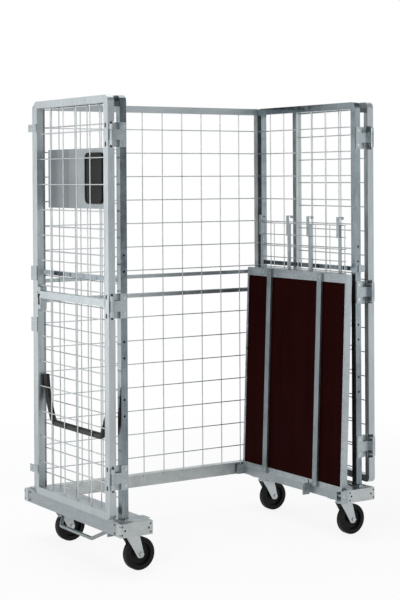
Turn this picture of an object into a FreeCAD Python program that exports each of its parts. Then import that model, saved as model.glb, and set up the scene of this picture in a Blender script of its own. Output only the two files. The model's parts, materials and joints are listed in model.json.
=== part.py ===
"""Roll cage container: a parametric FreeCAD document, in millimetres.

+X is to the right of someone who faces the open front, +Y runs to the back and +Z is up.
The origin is on the floor, under the middle of the U-shaped base.
"""
import FreeCAD, Part

import math
import os
import re

import Sketcher

# ---------------------------------------------------------------- driving dimensions
SIZES = {
    # base
    "base_width": 1200, "base_depth": 800, "beam_width": 136, "beam_height": 51, "beam_wall": 3,
    "beam_underside": 152, "cap_thickness": 3, "cap_flange": 34, "cap_flange_thick": 1.5,
    "cap_hole": 8, "cap_hole_inset": 17, "rear_beam_depth": 37,
    # frames
    "cage_height": 1790, "tube": 28, "tube_wall": 2, "panel_inset": 29, "front_setback": 44,
    "back_setback": 60, "panel_joint": 2, "corner_radius": 24, "vent_hole": 8, "post_hole": 9,
    "mid_rail_height": 1101, "mid_rail": 18, "mid_rail_wall": 2,
    "rear_rail_upper": 1058, "rear_rail_lower": 976, "rear_rail_tall": 16, "rear_rail_thick": 7,
    "hole_pair": 61, "upper_holes": 1162.5, "middle_holes": 840, "lower_holes": 624,
    # wire mesh
    "wire": 4.6, "wire_pitch": 100.6, "side_wire_drop": 102, "side_wire_front": 257,
    "side_wire_inset": 25, "rear_wire_drop": 101, "rear_wire_offset": 50.3,
    # feet and bolts
    "foot_overhang": 22, "foot_inner": 3, "foot_outer": 9, "foot_thickness": 4, "foot_bolt_inset": 11,
    "bolt": 8, "bolt_head": 13, "bolt_head_height": 4.5, "bolt_clearance": 0.5, "bolt_nut": 6.5,
    # doors
    "door_gap": 30, "door_setback": 11.5, "door_width": 609, "door_bottom": 214, "door_ajar": 5.91,
    "door_rail_height": 1017, "door_wire_drop": 131, "door_wire_first": 117, "door_wire_shift": 31,
    "door_wire_pitch": 109, "door_wire_rise": 101, "door_wire_inset": 13,
    # door hinges
    "hinge_drop": 148, "hinge_middle": 1005, "hinge_lower": 366, "leaf_height": 92, "leaf": 3,
    "knuckle_radius": 7, "hinge_pin": 4, "pin_fit": 0.08, "knuckle_height": 40, "knuckle_gap": 0.3,
    "pin_forward": 8, "pin_outward": 17, "notch_gap": 2, "notch_depth": 13, "end_knuckle": 19,
    "leaf_rivet": 12, "leaf_rivet_spacing": 60, "rivet_head": 2, "leg_inset": 1.5,
    "leaf_recess": 12, "leaf_clearance": 1.5, "slot_width": 12, "slot_height": 19, "slot_spacing": 70,
    "slot_inset": 18,
    # lock
    "latch_height": 90, "latch_depth": 24, "latch_wall": 2.5, "latch_centre": 1001.5,
    "latch_bolt": 10, "latch_gap": 0.3, "latch_slot": 44, "latch_finger": 34,
    "bolt_drop": 4, "tab_thickness": 3, "tab_clearance": 0.5, "tab_reach": 42, "tab_hold": 26,
    "tab_height": 30, "tab_rivet": 9, "guide_reach": 24, "guide_height": 58,
    "tab_drop": 106, "lower_tab": 311, "upper_guide": 1100, "lower_guide": 894,
    # door buffers and catch
    "buffer_gap": 0.4, "buffer_drop": 4, "buffer_tall": 18, "buffer_deep": 20,
    "catch_height": 1102, "catch_tall": 30, "catch_reach": 20, "catch_thick": 4,
    # folding base shelf
    "shelf_pivot_inset": 23, "shelf_pivot_z": 182, "shelf_offset": 18, "shelf_start": 4,
    "shelf_step": 22, "shelf_length": 895, "shelf_front_gap": 36, "shelf_back_gap": 50,
    "shelf_thickness": 26, "shelf_lean": 2.1, "shelf_side_rim": 12, "shelf_end_rim": 36,
    "shelf_wall": 3, "board": 12, "board_play": 0.2,
    "shelf_bar": 30, "shelf_bar_thick": 9, "shelf_bar_spacing": 361, "shelf_bar_centre": -8,
    "arm": 6, "arm_radius": 10, "arm_tie": 8, "arm_middle": 146, "ear": 4, "ear_reach": 12,
    "ear_gap": 0.4, "ear_drop": 7, "ear_edge": 3, "pin_end": 1, "hinge_shaft": 10, "shaft_fit": 0.08,
    "ledge_length": 50, "ledge_reach": 24, "ledge_thick": 3, "ledge_tall": 38, "ledge_gap": 0.5,
    "ledge_end": 110,
    # stored wire shelf
    "wire_shelf_inset": 38, "stand_gap": 0.3, "wire_shelf_length": 1078, "wire_shelf_half": 300,
    "shelf_wire": 4, "shelf_wire_pitch": 50, "shelf_wire_spacing": 100, "strip_width": 18,
    "strip_thick": 3, "hook_back": 10, "hook_tail": 54, "hook_front": 12, "hook_lip": 12,
    "strip_rise": 33, "strip_centre": 10, "strip_inner": 73, "strip_outer": 280,
    # sign plate, pocket, handle
    "sign_front": 239, "sign_back": 223, "sign_drop": 426, "sign_height": 232, "sign_thick": 2,
    "pocket_front": 236, "pocket_back": 89, "pocket_rise": 19, "pocket_height": 196,
    "pocket_thick": 10, "pocket_wall": 2,
    "handle_radius": 12.5, "handle_wall": 2, "handle_low": 509, "handle_knee": 600, "handle_top": 694,
    "handle_half": 200, "handle_knee_half": 246, "handle_top_half": 263, "handle_bend": 38,
    "handle_gap": 0.3, "handle_tie_tall": 44,
    # casters
    "caster_inset": 90, "caster_front_inset": 92, "caster_back_inset": 154, "trail": 38,
    "wheel_radius": 62.5, "wheel_width": 32, "tyre_depth": 14, "tyre_shoulder": 5, "rim_inset": 1,
    "hub_radius": 17, "hub_play": 0.5, "web_thick": 8, "wheel_rim": 5,
    "top_plate_x": 88, "top_plate_y": 104, "top_plate_thick": 3, "race_radius": 31, "race_top": 27,
    "swivel_play": 0.3, "crown_top": 137, "fork_thick": 3, "fork_gap": 3, "fork_boss": 14,
    "fork_lead": 28, "fork_tail": 30, "kingpin": 12, "kingpin_head": 20, "kingpin_head_height": 7,
    "axle": 10, "axle_head": 16, "axle_head_height": 5, "bush_wall": 2, "running_fit": 0.05,
    "plate_bolt_x": 30, "plate_bolt_y": 40,
    # brake
    "brake_inset": 40, "brake_z": 138, "brake_rod": 7, "brake_out": 32, "brake_down": 34,
    "brake_front": 262, "brake_back": 160, "brake_rear_run": 26, "brake_front_run": 40,
    "brake_rear_slant": 40, "brake_front_slant": 62, "brake_bend": 15, "brake_fit": 0.08,
    "brake_bracket": 4, "brake_bracket_half": 15, "brake_bracket_drop": 13, "brake_bracket_inset": 10,
}

# Lengths that follow from the driving ones.
DERIVED = {
    "half_depth": "base_depth/2",
    "beam_top": "beam_underside+beam_height",
    "beam_in": "base_width/2-beam_width",
    "panel_half": "base_width/2-panel_inset",
    "panel_in": "panel_half-tube",
    "panel_front": "half_depth-front_setback",
    "panel_back": "half_depth-back_setback",
    "post_middle": "panel_half-tube/2",
    "foot_top": "beam_top+foot_thickness",
    "rear_front": "panel_back+panel_joint",
    "rear_back": "rear_front+tube",
    "rear_beam_front": "half_depth-rear_beam_depth",
    "top_under": "cage_height-tube",
    "side_wire_top": "cage_height-side_wire_drop",
    "side_wire_plane": "panel_half-side_wire_inset",
    "rear_wire_top": "cage_height-rear_wire_drop",
    "door_in": "panel_half+door_gap",
    "door_out": "door_in+tube",
    "door_middle": "door_in+tube/2",
    "door_lead": "panel_front+door_setback",
    "door_back": "door_width-door_lead",
    "free_in": "door_back-tube",
    "door_wire_top": "cage_height-door_wire_drop",
    "door_wire_plane": "door_in+door_wire_inset",
    "pin_x": "door_in+pin_outward",
    "pin_y": "-door_lead-pin_forward",
    "hinge_upper": "cage_height-hinge_drop",
    "bolt_z": "latch_centre-bolt_drop",
    "upper_tab": "cage_height-tab_drop",
    "shelf_pivot_x": "beam_in-shelf_pivot_inset",
    "shelf_front": "half_depth-shelf_front_gap",
    "shelf_back": "half_depth-shelf_back_gap",
    "shelf_face": "shelf_pivot_x+shelf_offset",
    "shelf_low": "shelf_pivot_z+shelf_start",
    "shelf_foot": "shelf_low+shelf_step",
    "shelf_head": "shelf_low+shelf_length",
    "wire_shelf_plane": "panel_half-wire_shelf_inset",
    "stand": "beam_top+stand_gap",
    "wire_top": "stand+wire_shelf_length",
    "sign_bottom": "cage_height-sign_drop",
    "pocket_bottom": "sign_bottom+pocket_rise",
    "caster_x": "base_width/2-caster_inset",
    "caster_front": "half_depth-caster_front_inset",
    "caster_back": "half_depth-caster_back_inset",
    "plate_under": "beam_underside-top_plate_thick",
    "crown_under": "crown_top-fork_thick",
    "fork_in": "wheel_width/2+fork_gap",
    "fork_out": "fork_in+fork_thick",
    "brake_x": "base_width/2-brake_inset",
    # the cage's middle stands this far left of the origin, which is under the middle of the whole
    "cage_shift": "(pin_x+(door_out-pin_x)*cos(door_ajar)+(door_back-pin_y)*sin(door_ajar)"
                  "-door_out-tab_clearance-tab_thickness)/2",
}

doc = FreeCAD.newDocument("roll_cage_container")
sheet = doc.addObject("Spreadsheet::Sheet", "Sizes")
for row, (alias, number) in enumerate(SIZES.items(), start=1):
    sheet.set(f"A{row}", alias)
    sheet.set(f"B{row}", str(number))
    sheet.setAlias(f"B{row}", alias)
gauge = doc.addObject("Part::Vertex", "Gauge")
doc.recompute()

WORD = re.compile(r"\b[a-z][a-z_]+\b")
ALONG = {
    "x": FreeCAD.Rotation(FreeCAD.Vector(0, 1, 0), 90),
    "y": FreeCAD.Rotation(FreeCAD.Vector(1, 0, 0), -90),
    "z": FreeCAD.Rotation(),
}
LEFT, RIGHT = -1, 1
nodes = []


# ---------------------------------------------------------------- helpers
def linked(text):
    """An expression in which each name of a size points at its cell."""
    def meaning(match):
        word = match.group()
        if word in DERIVED:
            return f"({linked(DERIVED[word])})"
        return f"Sizes.{word}" if word in SIZES else word

    return WORD.sub(meaning, str(text))


def number(text):
    """The present value of an expression of sizes, read through a gauge point."""
    gauge.setExpression("X", linked(text))
    gauge.recompute()
    return float(gauge.X)


def bind(thing, **expressions):
    """Bind each named property of a document object to an expression of sizes."""
    for name, text in expressions.items():
        thing.setExpression(name, linked(text))


def place(thing, corner):
    """Bind the base point of a placement, given from the cage's own middle."""
    for axis, text in zip("xyz", (f"({corner[0]})-cage_shift", corner[1], corner[2])):
        thing.setExpression(f"Placement.Base.{axis}", linked(text))


def side(sign, near, far):
    """The X range of something that lies between near and far from the middle, on one side."""
    return (near, far) if sign > 0 else (f"-({far})", f"-({near})")


def box(x, y, z):
    """A block between two values along each axis."""
    block = doc.addObject("Part::Box", "Block")
    bind(block, Length=f"({x[1]})-({x[0]})", Width=f"({y[1]})-({y[0]})", Height=f"({z[1]})-({z[0]})")
    place(block, (x[0], y[0], z[0]))
    return block


def rod(radius, start, along, length):
    """A cylinder that starts at a point and runs along one axis."""
    cylinder = doc.addObject("Part::Cylinder", "Rod")
    bind(cylinder, Radius=radius, Height=length)
    cylinder.Placement = FreeCAD.Placement(FreeCAD.Vector(), ALONG[along])
    place(cylinder, start)
    return cylinder


def fuse(pieces):
    """One solid made of pieces that are welded or formed together."""
    joined = doc.addObject("Part::MultiFuse", "Joined")
    joined.Shapes = pieces
    joined.Refine = True
    return joined


def cut(body, tools):
    """A solid with every tool taken out of it."""
    tool = tools[0] if len(tools) == 1 else fuse(tools)
    less = doc.addObject("Part::Cut", "Less")
    less.Base = body
    less.Tool = tool
    return less


def node(label, pieces):
    """Name a sub-part: one solid, or a group of separate solids that share one file."""
    if len(pieces) == 1:
        whole = pieces[0]
    else:
        whole = doc.addObject("Part::Compound", "Group")
        whole.Links = pieces
    whole.Label = label
    nodes.append(whole)
    return whole


def rounded(block, radius, count):
    """Round the upper (2) or all four (4) corners of a block seen along its thinnest side."""
    doc.recompute()
    thin = min("xyz", key=lambda a: getattr(block.Shape.BoundBox, a.upper() + "Length"))
    middle = block.Shape.BoundBox.Center.z
    edges = []
    for index, edge in enumerate(block.Shape.Edges, start=1):
        direction = edge.tangentAt(edge.FirstParameter)
        if abs(getattr(direction, thin)) > 0.9 and (count == 4 or edge.CenterOfMass.z > middle):
            edges.append((index, radius, radius))
    soft = doc.addObject("Part::Fillet", "Rounded")
    soft.Base = block
    soft.Edges = edges
    return soft


# ---------------------------------------------------------------- shared places
HINGES = ("hinge_lower", "hinge_middle", "hinge_upper")
FOOT_ENDS = (("-panel_front-foot_overhang", "tube-panel_front+foot_overhang"),
             ("panel_back-tube-foot_overhang", "rear_back+foot_overhang"))
FOOT_BOLTS = [("post_middle", y) for y0, y1 in FOOT_ENDS
              for y in (f"{y0}+foot_bolt_inset", f"{y1}-foot_bolt_inset")]
CASTERS_Y = ("-caster_front", "caster_back")
CASTER_BOLTS = [(f"{dx}*plate_bolt_x", f"{y}+({dy}*plate_bolt_y)") for y in CASTERS_Y
                for dx in (-1, 1) for dy in (-1, 1)]


# ---------------------------------------------------------------- base
def base_beam(label, sign):
    """A folded sheet beam, open at both ends where its caps sit, drilled for its bolts."""
    y = ("cap_thickness-half_depth", "half_depth-cap_thickness")
    outer = box(side(sign, "beam_in", "base_width/2"), y, ("beam_underside", "beam_top"))
    inner = box(side(sign, "beam_in+beam_wall", "base_width/2-beam_wall"),
                (f"({y[0]})-1", f"({y[1]})+1"),
                ("beam_underside+beam_wall", "beam_top-beam_wall"))
    drill = "(bolt+bolt_clearance)/2"
    holes = [rod(drill, (f"{sign}*({x})", y, "beam_top-beam_wall-1"), "z", "beam_wall+2")
             for x, y in FOOT_BOLTS]
    holes += [rod(drill, (f"{sign}*caster_x+({x})", y, "beam_underside-1"), "z", "beam_wall+2")
              for x, y in CASTER_BOLTS]
    node(label, [cut(outer, [inner] + holes)])


def beam_end_caps():
    """Four plates that close the beams; each has two holes and a flange round the outer side."""
    caps = []
    for sign in (LEFT, RIGHT):
        for end in (-1, 1):
            y = sorted((f"{end}*half_depth", f"{end}*(half_depth-cap_thickness)"), key=number)
            flange_y = sorted((f"{end}*half_depth", f"{end}*(half_depth-cap_flange)"), key=number)
            outside = "base_width/2+cap_flange_thick"
            z = ("beam_underside", "beam_top")
            plate = box(side(sign, "beam_in", outside), y, z)
            flange = box(side(sign, "base_width/2", outside), flange_y, z)
            holes = [rod("cap_hole/2", (f"{sign}*({x})", f"({y[0]})-1", "beam_underside+beam_height/2"),
                         "y", "cap_thickness+2")
                     for x in ("beam_in+cap_hole_inset", "base_width/2-cap_hole_inset")]
            caps.append(cut(fuse([plate, flange]), holes))
    node("beam_end_caps", caps)


def base_rear_beam():
    """The narrow beam that closes the U at the back."""
    x = ("-beam_in", "beam_in")
    outer = box(x, ("rear_beam_front", "half_depth"), ("beam_underside", "beam_top"))
    inner = box(("-beam_in-1", "beam_in+1"),
                ("rear_beam_front+beam_wall", "half_depth-beam_wall"),
                ("beam_underside+beam_wall", "beam_top-beam_wall"))
    node("base_rear_beam", [cut(outer, [inner])])


# ---------------------------------------------------------------- frames
def arch(x, y, z, wall_axis):
    """An inverted U of square tube, hollow down to its open feet, with rounded upper corners."""
    outer = rounded(box(x, y, z), number("corner_radius"), 2)
    if wall_axis == "x":
        window = box((f"({x[0]})-1", f"({x[1]})+1"), (f"({y[0]})+tube", f"({y[1]})-tube"),
                     (f"({z[0]})-1", f"({z[1]})-tube"))
    else:
        window = box((f"({x[0]})+tube", f"({x[1]})-tube"), (f"({y[0]})-1", f"({y[1]})+1"),
                     (f"({z[0]})-1", f"({z[1]})-tube"))
    hollow_out = rounded(box((f"({x[0]})+tube_wall", f"({x[1]})-tube_wall"),
                             (f"({y[0]})+tube_wall", f"({y[1]})-tube_wall"),
                             (f"({z[0]})-1", f"({z[1]})-tube_wall")),
                         number("corner_radius-tube_wall"), 2)
    keep = "tube-tube_wall"
    if wall_axis == "x":
        kept = box((f"({x[0]})-1", f"({x[1]})+1"), (f"({y[0]})+{keep}", f"({y[1]})-({keep})"),
                   (f"({z[0]})-2", f"({z[1]})-({keep})"))
    else:
        kept = box((f"({x[0]})+{keep}", f"({x[1]})-({keep})"), (f"({y[0]})-1", f"({y[1]})+1"),
                   (f"({z[0]})-2", f"({z[1]})-({keep})"))
    hollow = cut(hollow_out, [kept])
    return cut(outer, [window, hollow])


def side_frame(label, sign):
    """A side panel's welded frame: two posts, the top rail and a smaller middle rail."""
    post_x = f"{sign}*(panel_half-tube/2)"
    x = side(sign, "panel_in", "panel_half")
    frame = arch(x, ("-panel_front", "panel_back"), ("foot_top", "cage_height"), "x")
    z = ("mid_rail_height-mid_rail/2", "mid_rail_height+mid_rail/2")
    y = ("tube-panel_front", "panel_back-tube")
    rail = box(side(sign, "panel_half-mid_rail", "panel_half"), y, z)
    hollow = box(side(sign, "panel_half-mid_rail+mid_rail_wall", "panel_half-mid_rail_wall"),
                 (f"{y[0]}-tube_wall-1", f"{y[1]}+tube_wall+1"),
                 (f"{z[0]}+mid_rail_wall", f"{z[1]}-mid_rail_wall"))
    holes = [rod("post_hole/2", (post_x, "-panel_front-1", f"{middle}+{end}*hole_pair/2"), "y", "tube_wall+2")
             for middle in ("upper_holes", "middle_holes", "lower_holes") for end in (-1, 1)]
    node(label, [cut(fuse([frame, rail]), [hollow] + holes)])


def rear_frame():
    """The back panel's welded frame with its two flat rails."""
    frame = arch(("-panel_half", "panel_half"), ("rear_front", "rear_back"), ("foot_top", "cage_height"), "y")
    rails = [box(("-panel_in", "panel_in"), ("rear_back-rear_rail_thick", "rear_back"),
                 (f"{height}-rear_rail_tall/2", f"{height}+rear_rail_tall/2"))
             for height in ("rear_rail_upper", "rear_rail_lower")]
    node("rear_frame", [fuse([frame] + rails)])


# ---------------------------------------------------------------- wire meshes
def levels(first, last, pitch):
    """How many wires fit from the first down or along to the last."""
    return int((number(first) - number(last)) / number(pitch)) + 1


def side_mesh(label, sign):
    """Vertical wires on the inside, horizontal wires on their outer side."""
    inner = f"{sign}*side_wire_plane"
    outer = f"{sign}*(side_wire_plane+wire)"
    wires = []
    for k in range(levels("side_wire_front", "tube+wire_pitch/3-panel_back", "wire_pitch")):
        wires.append(rod("wire/2", (inner, f"{k}*wire_pitch-side_wire_front", "beam_top"), "z",
                         "top_under-beam_top"))
    for k in range(levels("side_wire_top", "beam_top+wire_pitch/3", "wire_pitch")):
        wires.append(rod("wire/2", (outer, "tube-panel_front", f"side_wire_top-{k}*wire_pitch"), "y",
                         "panel_back+panel_front-2*tube"))
    node(label, wires)


def rear_mesh():
    """Vertical wires welded to the front of the rear beam, horizontal wires in front of them."""
    upright = "(rear_beam_front-wire/2)"
    count = levels("panel_in", "rear_wire_offset+wire_pitch/3", "wire_pitch")
    wires = []
    for k in range(count):
        for sign in (LEFT, RIGHT):
            wires.append(rod("wire/2", (f"{sign}*(rear_wire_offset+{k}*wire_pitch)", upright,
                                        "beam_top-beam_height/4"), "z",
                             "top_under-beam_top+beam_height/4"))
    for k in range(levels("rear_wire_top", "beam_top+wire_pitch/3", "wire_pitch")):
        wires.append(rod("wire/2", ("-panel_in", f"{upright}-wire", f"rear_wire_top-{k}*wire_pitch"),
                         "x", "2*panel_in"))
    node("rear_mesh", wires)


# ---------------------------------------------------------------- more helpers
def vector(point):
    """A point whose three values are expressions of sizes."""
    return FreeCAD.Vector(*(number(value) for value in point))


def hexagon(width, start, along, height):
    """A hexagonal prism, sized across its flats, that runs from a point along one axis."""
    prism = doc.addObject("Part::Prism", "Hexagon")
    prism.Polygon = 6
    bind(prism, Circumradius=f"({width})/sqrt(3)", Height=height)
    prism.Placement = FreeCAD.Placement(FreeCAD.Vector(), ALONG[along])
    place(prism, start)
    return prism


def bent_rod(radius, points, bend):
    """A round bar along straight runs joined by tangent arcs of one radius."""
    corners = [vector((f"({x})-cage_shift", y, z)) for x, y, z in points]
    edges = []
    start = corners[0]
    for before, corner, after in zip(corners, corners[1:], corners[2:]):
        inward = (before - corner).normalize()
        outward = (after - corner).normalize()
        half = inward.getAngle(outward) / 2
        reach = bend / math.tan(half)
        middle = (inward + outward).normalize() * (bend / math.sin(half) - bend)
        first = corner + inward * reach
        last = corner + outward * reach
        edges.append(Part.LineSegment(start, first).toShape())
        edges.append(Part.Arc(first, corner + middle, last).toShape())
        start = last
    edges.append(Part.LineSegment(start, corners[-1]).toShape())
    path = Part.Wire(edges)
    ring = Part.Wire([Part.makeCircle(radius, corners[0], corners[1] - corners[0])])
    bar = doc.addObject("Part::Feature", "Bent")
    bar.Shape = path.makePipeShell([ring], True, False)
    return bar


def turned(label, profile):
    """A body turned about the Y axis from a closed profile of (radius, along) pairs."""
    body = doc.addObject("PartDesign::Body", "Turned")
    sketch = body.newObject("Sketcher::SketchObject", "Profile")
    plane = next(f for f in body.Origin.OriginFeatures if f.Role == "XY_Plane")
    sketch.AttachmentSupport = [(plane, "")]
    sketch.MapMode = "FlatFace"
    corners = [vector((radius, along, 0)) for radius, along in profile]
    count = len(corners)
    for k, corner in enumerate(corners):
        sketch.addGeometry(Part.LineSegment(corner, corners[(k + 1) % count]), False)
    for k in range(count):
        sketch.addConstraint(Sketcher.Constraint("Coincident", k, 2, (k + 1) % count, 1))
    for k, (radius, along) in enumerate(profile):
        for kind, text, value in (("DistanceX", radius, corners[k].x), ("DistanceY", along, corners[k].y)):
            index = sketch.addConstraint(Sketcher.Constraint(kind, -1, 1, k, 1, value))
            sketch.setExpression(f"Constraints[{index}]", linked(text))
    turn = body.newObject("PartDesign::Revolution", "Turn")
    turn.Profile = sketch
    turn.ReferenceAxis = (sketch, ["V_Axis"])
    turn.Angle = 360
    body.Tip = turn
    body.Label = label
    nodes.append(body)
    return body


# ---------------------------------------------------------------- feet and bolts
def foot_plates():
    """Plates under the posts: one under each front post, one under each pair of rear posts."""
    plates = []
    for sign in (LEFT, RIGHT):
        for y in FOOT_ENDS:
            plate = box(side(sign, "panel_in-foot_inner", "panel_half+foot_outer"), y,
                        ("beam_top", "foot_top"))
            holes = [rod("(bolt+bolt_clearance)/2",
                         (f"{sign}*post_middle", bolt_y, "beam_top-1"), "z", "foot_thickness+2")
                     for bolt_y in (f"{y[0]}+foot_bolt_inset", f"{y[1]}-foot_bolt_inset")]
            plates.append(cut(plate, holes))
    node("foot_plates", plates)


def screw(start, along, toward, grip, head_height="bolt_head_height"):
    """A hexagon bolt through a grip, and its nut, as two solids.

    start is the seat of the head, toward is the sign of the direction of the shank.
    """
    index = "xyz".index(along)

    def at(shift):
        point = list(start)
        point[index] = f"({start[index]})+({shift})"
        return tuple(point)

    reach = f"({grip})+bolt_nut+2"
    if toward > 0:
        head, shank, nut = at(f"-({head_height})"), at("0"), at(grip)
    else:
        head, shank, nut = at("0"), at(f"-({reach})"), at(f"-({grip})-bolt_nut")
    bolt = fuse([hexagon("bolt_head", head, along, head_height), rod("bolt/2", shank, along, reach)])
    bore = rod("bolt/2", at_less(nut, index), along, "bolt_nut+2")
    return [bolt, cut(hexagon("bolt_head", nut, along, "bolt_nut"), [bore])]


def at_less(point, index):
    """A point moved back by one along an axis, so that a cut passes through the face."""
    moved = list(point)
    moved[index] = f"({point[index]})-1"
    return tuple(moved)


def frame_bolts():
    """The bolts of the feet, with their nuts."""
    pieces = []
    for sign in (LEFT, RIGHT):
        for x, y in FOOT_BOLTS:
            pieces += screw((f"{sign}*({x})", y, "foot_top"), "z", -1, "foot_thickness+beam_wall")
    node("frame_bolts", pieces)


# ---------------------------------------------------------------- left panel's fittings
def sign_plate():
    """A shallow tray of sheet metal that stands on the outside of the mesh."""
    outside = "(panel_half+sign_thick)"
    mesh_face = "(side_wire_plane+1.5*wire)"
    y = ("-sign_front", "sign_back")
    z = ("sign_bottom", "sign_bottom+sign_height")
    outer = box(side(LEFT, mesh_face, outside), y, z)
    inner = box(side(LEFT, f"{mesh_face}-1", "panel_half"),
                (f"{y[0]}+sign_thick", f"{y[1]}-sign_thick"), (f"{z[0]}+sign_thick", f"{z[1]}-sign_thick"))
    node("sign_plate", [cut(outer, [inner])])


def document_pocket():
    """A flat pocket on the sign plate, open at the top."""
    inside = "(panel_half+sign_thick)"
    x = side(LEFT, inside, f"{inside}+pocket_thick")
    y = ("-pocket_front", "-pocket_back")
    z = ("pocket_bottom", "pocket_bottom+pocket_height")
    hollow = box(side(LEFT, f"{inside}+pocket_wall", f"{inside}+pocket_thick-pocket_wall"),
                 (f"{y[0]}+pocket_wall", f"{y[1]}-pocket_wall"), (f"{z[0]}+pocket_wall", f"{z[1]}+1"))
    node("document_pocket", [cut(box(x, y, z), [hollow])])


def push_handle():
    """A bent tube between the left door's posts, tied to each by a short block."""
    x = "-(door_wire_plane-wire/2-handle_radius-handle_gap)"
    middle = "(door_back-door_width/2)"
    halves = ("handle_top_half", "handle_knee_half", "handle_half")
    levels_z = ("handle_top", "handle_knee", "handle_low")
    front = [(x, f"{middle}-{half}", z) for half, z in zip(halves, levels_z)]
    back = [(x, f"{middle}+{half}", z) for half, z in zip(halves, levels_z)]
    points = front + back[::-1]
    outer = bent_rod(number("handle_radius"), points, number("handle_bend"))
    inner = bent_rod(number("handle_radius-handle_wall"), points, number("handle_bend"))
    z = ("handle_top-handle_tie_tall", "handle_top")
    ties = [box(side(LEFT, f"-({x})", "door_out-tube/2"), y, z)
            for y in ((f"{middle}-door_width/2+tube", f"{middle}-handle_top_half"),
                      (f"{middle}+handle_top_half", f"{middle}+door_width/2-tube"))]
    node("push_handle", [cut(fuse([outer] + ties), [inner])])


# ---------------------------------------------------------------- door hinges
def door_hinge_brackets():
    """Leaves wrapped round the front posts' corners, each with a leg out to the middle knuckle."""
    brackets = []
    for sign in (LEFT, RIGHT):
        for level in HINGES:
            front = "(-panel_front-leaf)"
            recess = "(leaf_recess-panel_front)"
            leg_out = "(pin_x-leg_inset)"
            tall = (f"{level}-leaf_height/2", f"{level}+leaf_height/2")
            z = (f"{level}-knuckle_height/2", f"{level}+knuckle_height/2")
            leaf = box(side(sign, "panel_in+leaf", "panel_half+leaf"), (front, "-panel_front"), tall)
            wrap = box(side(sign, "panel_half", "panel_half+leaf"), (front, recess), tall)
            back = box(side(sign, "panel_half", "door_in-leaf_clearance"), (f"{recess}-leaf", recess), tall)
            bridge = box(side(sign, "panel_half", leg_out), (front, "-panel_front"), z)
            leg = box(side(sign, f"{leg_out}-leaf", leg_out), ("pin_y", "-panel_front"), z)
            knuckle = rod("knuckle_radius", (f"{sign}*pin_x", "pin_y", z[0]), "z", "knuckle_height")
            bore = rod("hinge_pin+pin_fit", (f"{sign}*pin_x", "pin_y", f"{z[0]}-1"), "z", "knuckle_height+2")
            brackets.append(cut(fuse([leaf, wrap, back, bridge, leg, knuckle]), [bore]))
    node("door_hinge_brackets", brackets)


def hinge_rivets():
    """Two rivet heads on each fixed leaf."""
    heads = [rod("leaf_rivet/2", (f"{sign}*post_middle", "-panel_front-leaf-rivet_head",
                                  f"{level}+{end}*leaf_rivet_spacing/2"), "y", "rivet_head")
             for sign in (LEFT, RIGHT) for level in HINGES for end in (-1, 1)]
    node("hinge_rivets", heads)


def door_hinge_pins():
    """One pin through the three knuckles of each hinge."""
    reach = "(knuckle_height/2+knuckle_gap+end_knuckle)"
    pins = [rod("hinge_pin", (f"{sign}*pin_x", "pin_y", f"{level}-{reach}"), "z", f"2*{reach}")
            for sign in (LEFT, RIGHT) for level in HINGES]
    node("door_hinge_pins", pins)


def hung(label, sign, pieces):
    """Name a piece of a door; the right door stands ajar, turned about its hinge pins."""
    if sign == LEFT:
        return node(label, pieces)
    group = doc.addObject("Part::Compound", "Hung")
    group.Links = pieces
    centre = linked("vector(pin_x-cage_shift; pin_y; 0)")
    turn = linked("rotation(vector(0; 0; 1); -door_ajar)")
    group.setExpression("Placement", f"placement(vector(0; 0; 0); {turn}; {centre})")
    group.Label = label
    nodes.append(group)
    return group


def door_knuckles(label, sign):
    """The end knuckles on the door's edge."""
    pieces = []
    for level in HINGES:
        for end in (-1, 1):
            start = "(knuckle_height/2+knuckle_gap)"
            low = f"{level}+{start}" if end > 0 else f"{level}-{start}-end_knuckle"
            barrel = rod("knuckle_radius", (f"{sign}*pin_x", "pin_y", low), "z", "end_knuckle")
            web = box(side(sign, "pin_x+hinge_pin-1", "pin_x+knuckle_radius"),
                      ("pin_y", "-door_lead"), (low, f"{low}+end_knuckle"))
            bore = rod("hinge_pin+pin_fit", (f"{sign}*pin_x", "pin_y", f"{low}-1"), "z", "end_knuckle+2")
            pieces.append(cut(fuse([barrel, web]), [bore]))
    hung(label, sign, pieces)


# ---------------------------------------------------------------- doors
rail_z = ("door_rail_height-tube/2", "door_rail_height+tube/2")
latch_y = ("free_in-latch_depth", "free_in")
latch_z = ("latch_centre-latch_height/2", "latch_centre+latch_height/2")


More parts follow.
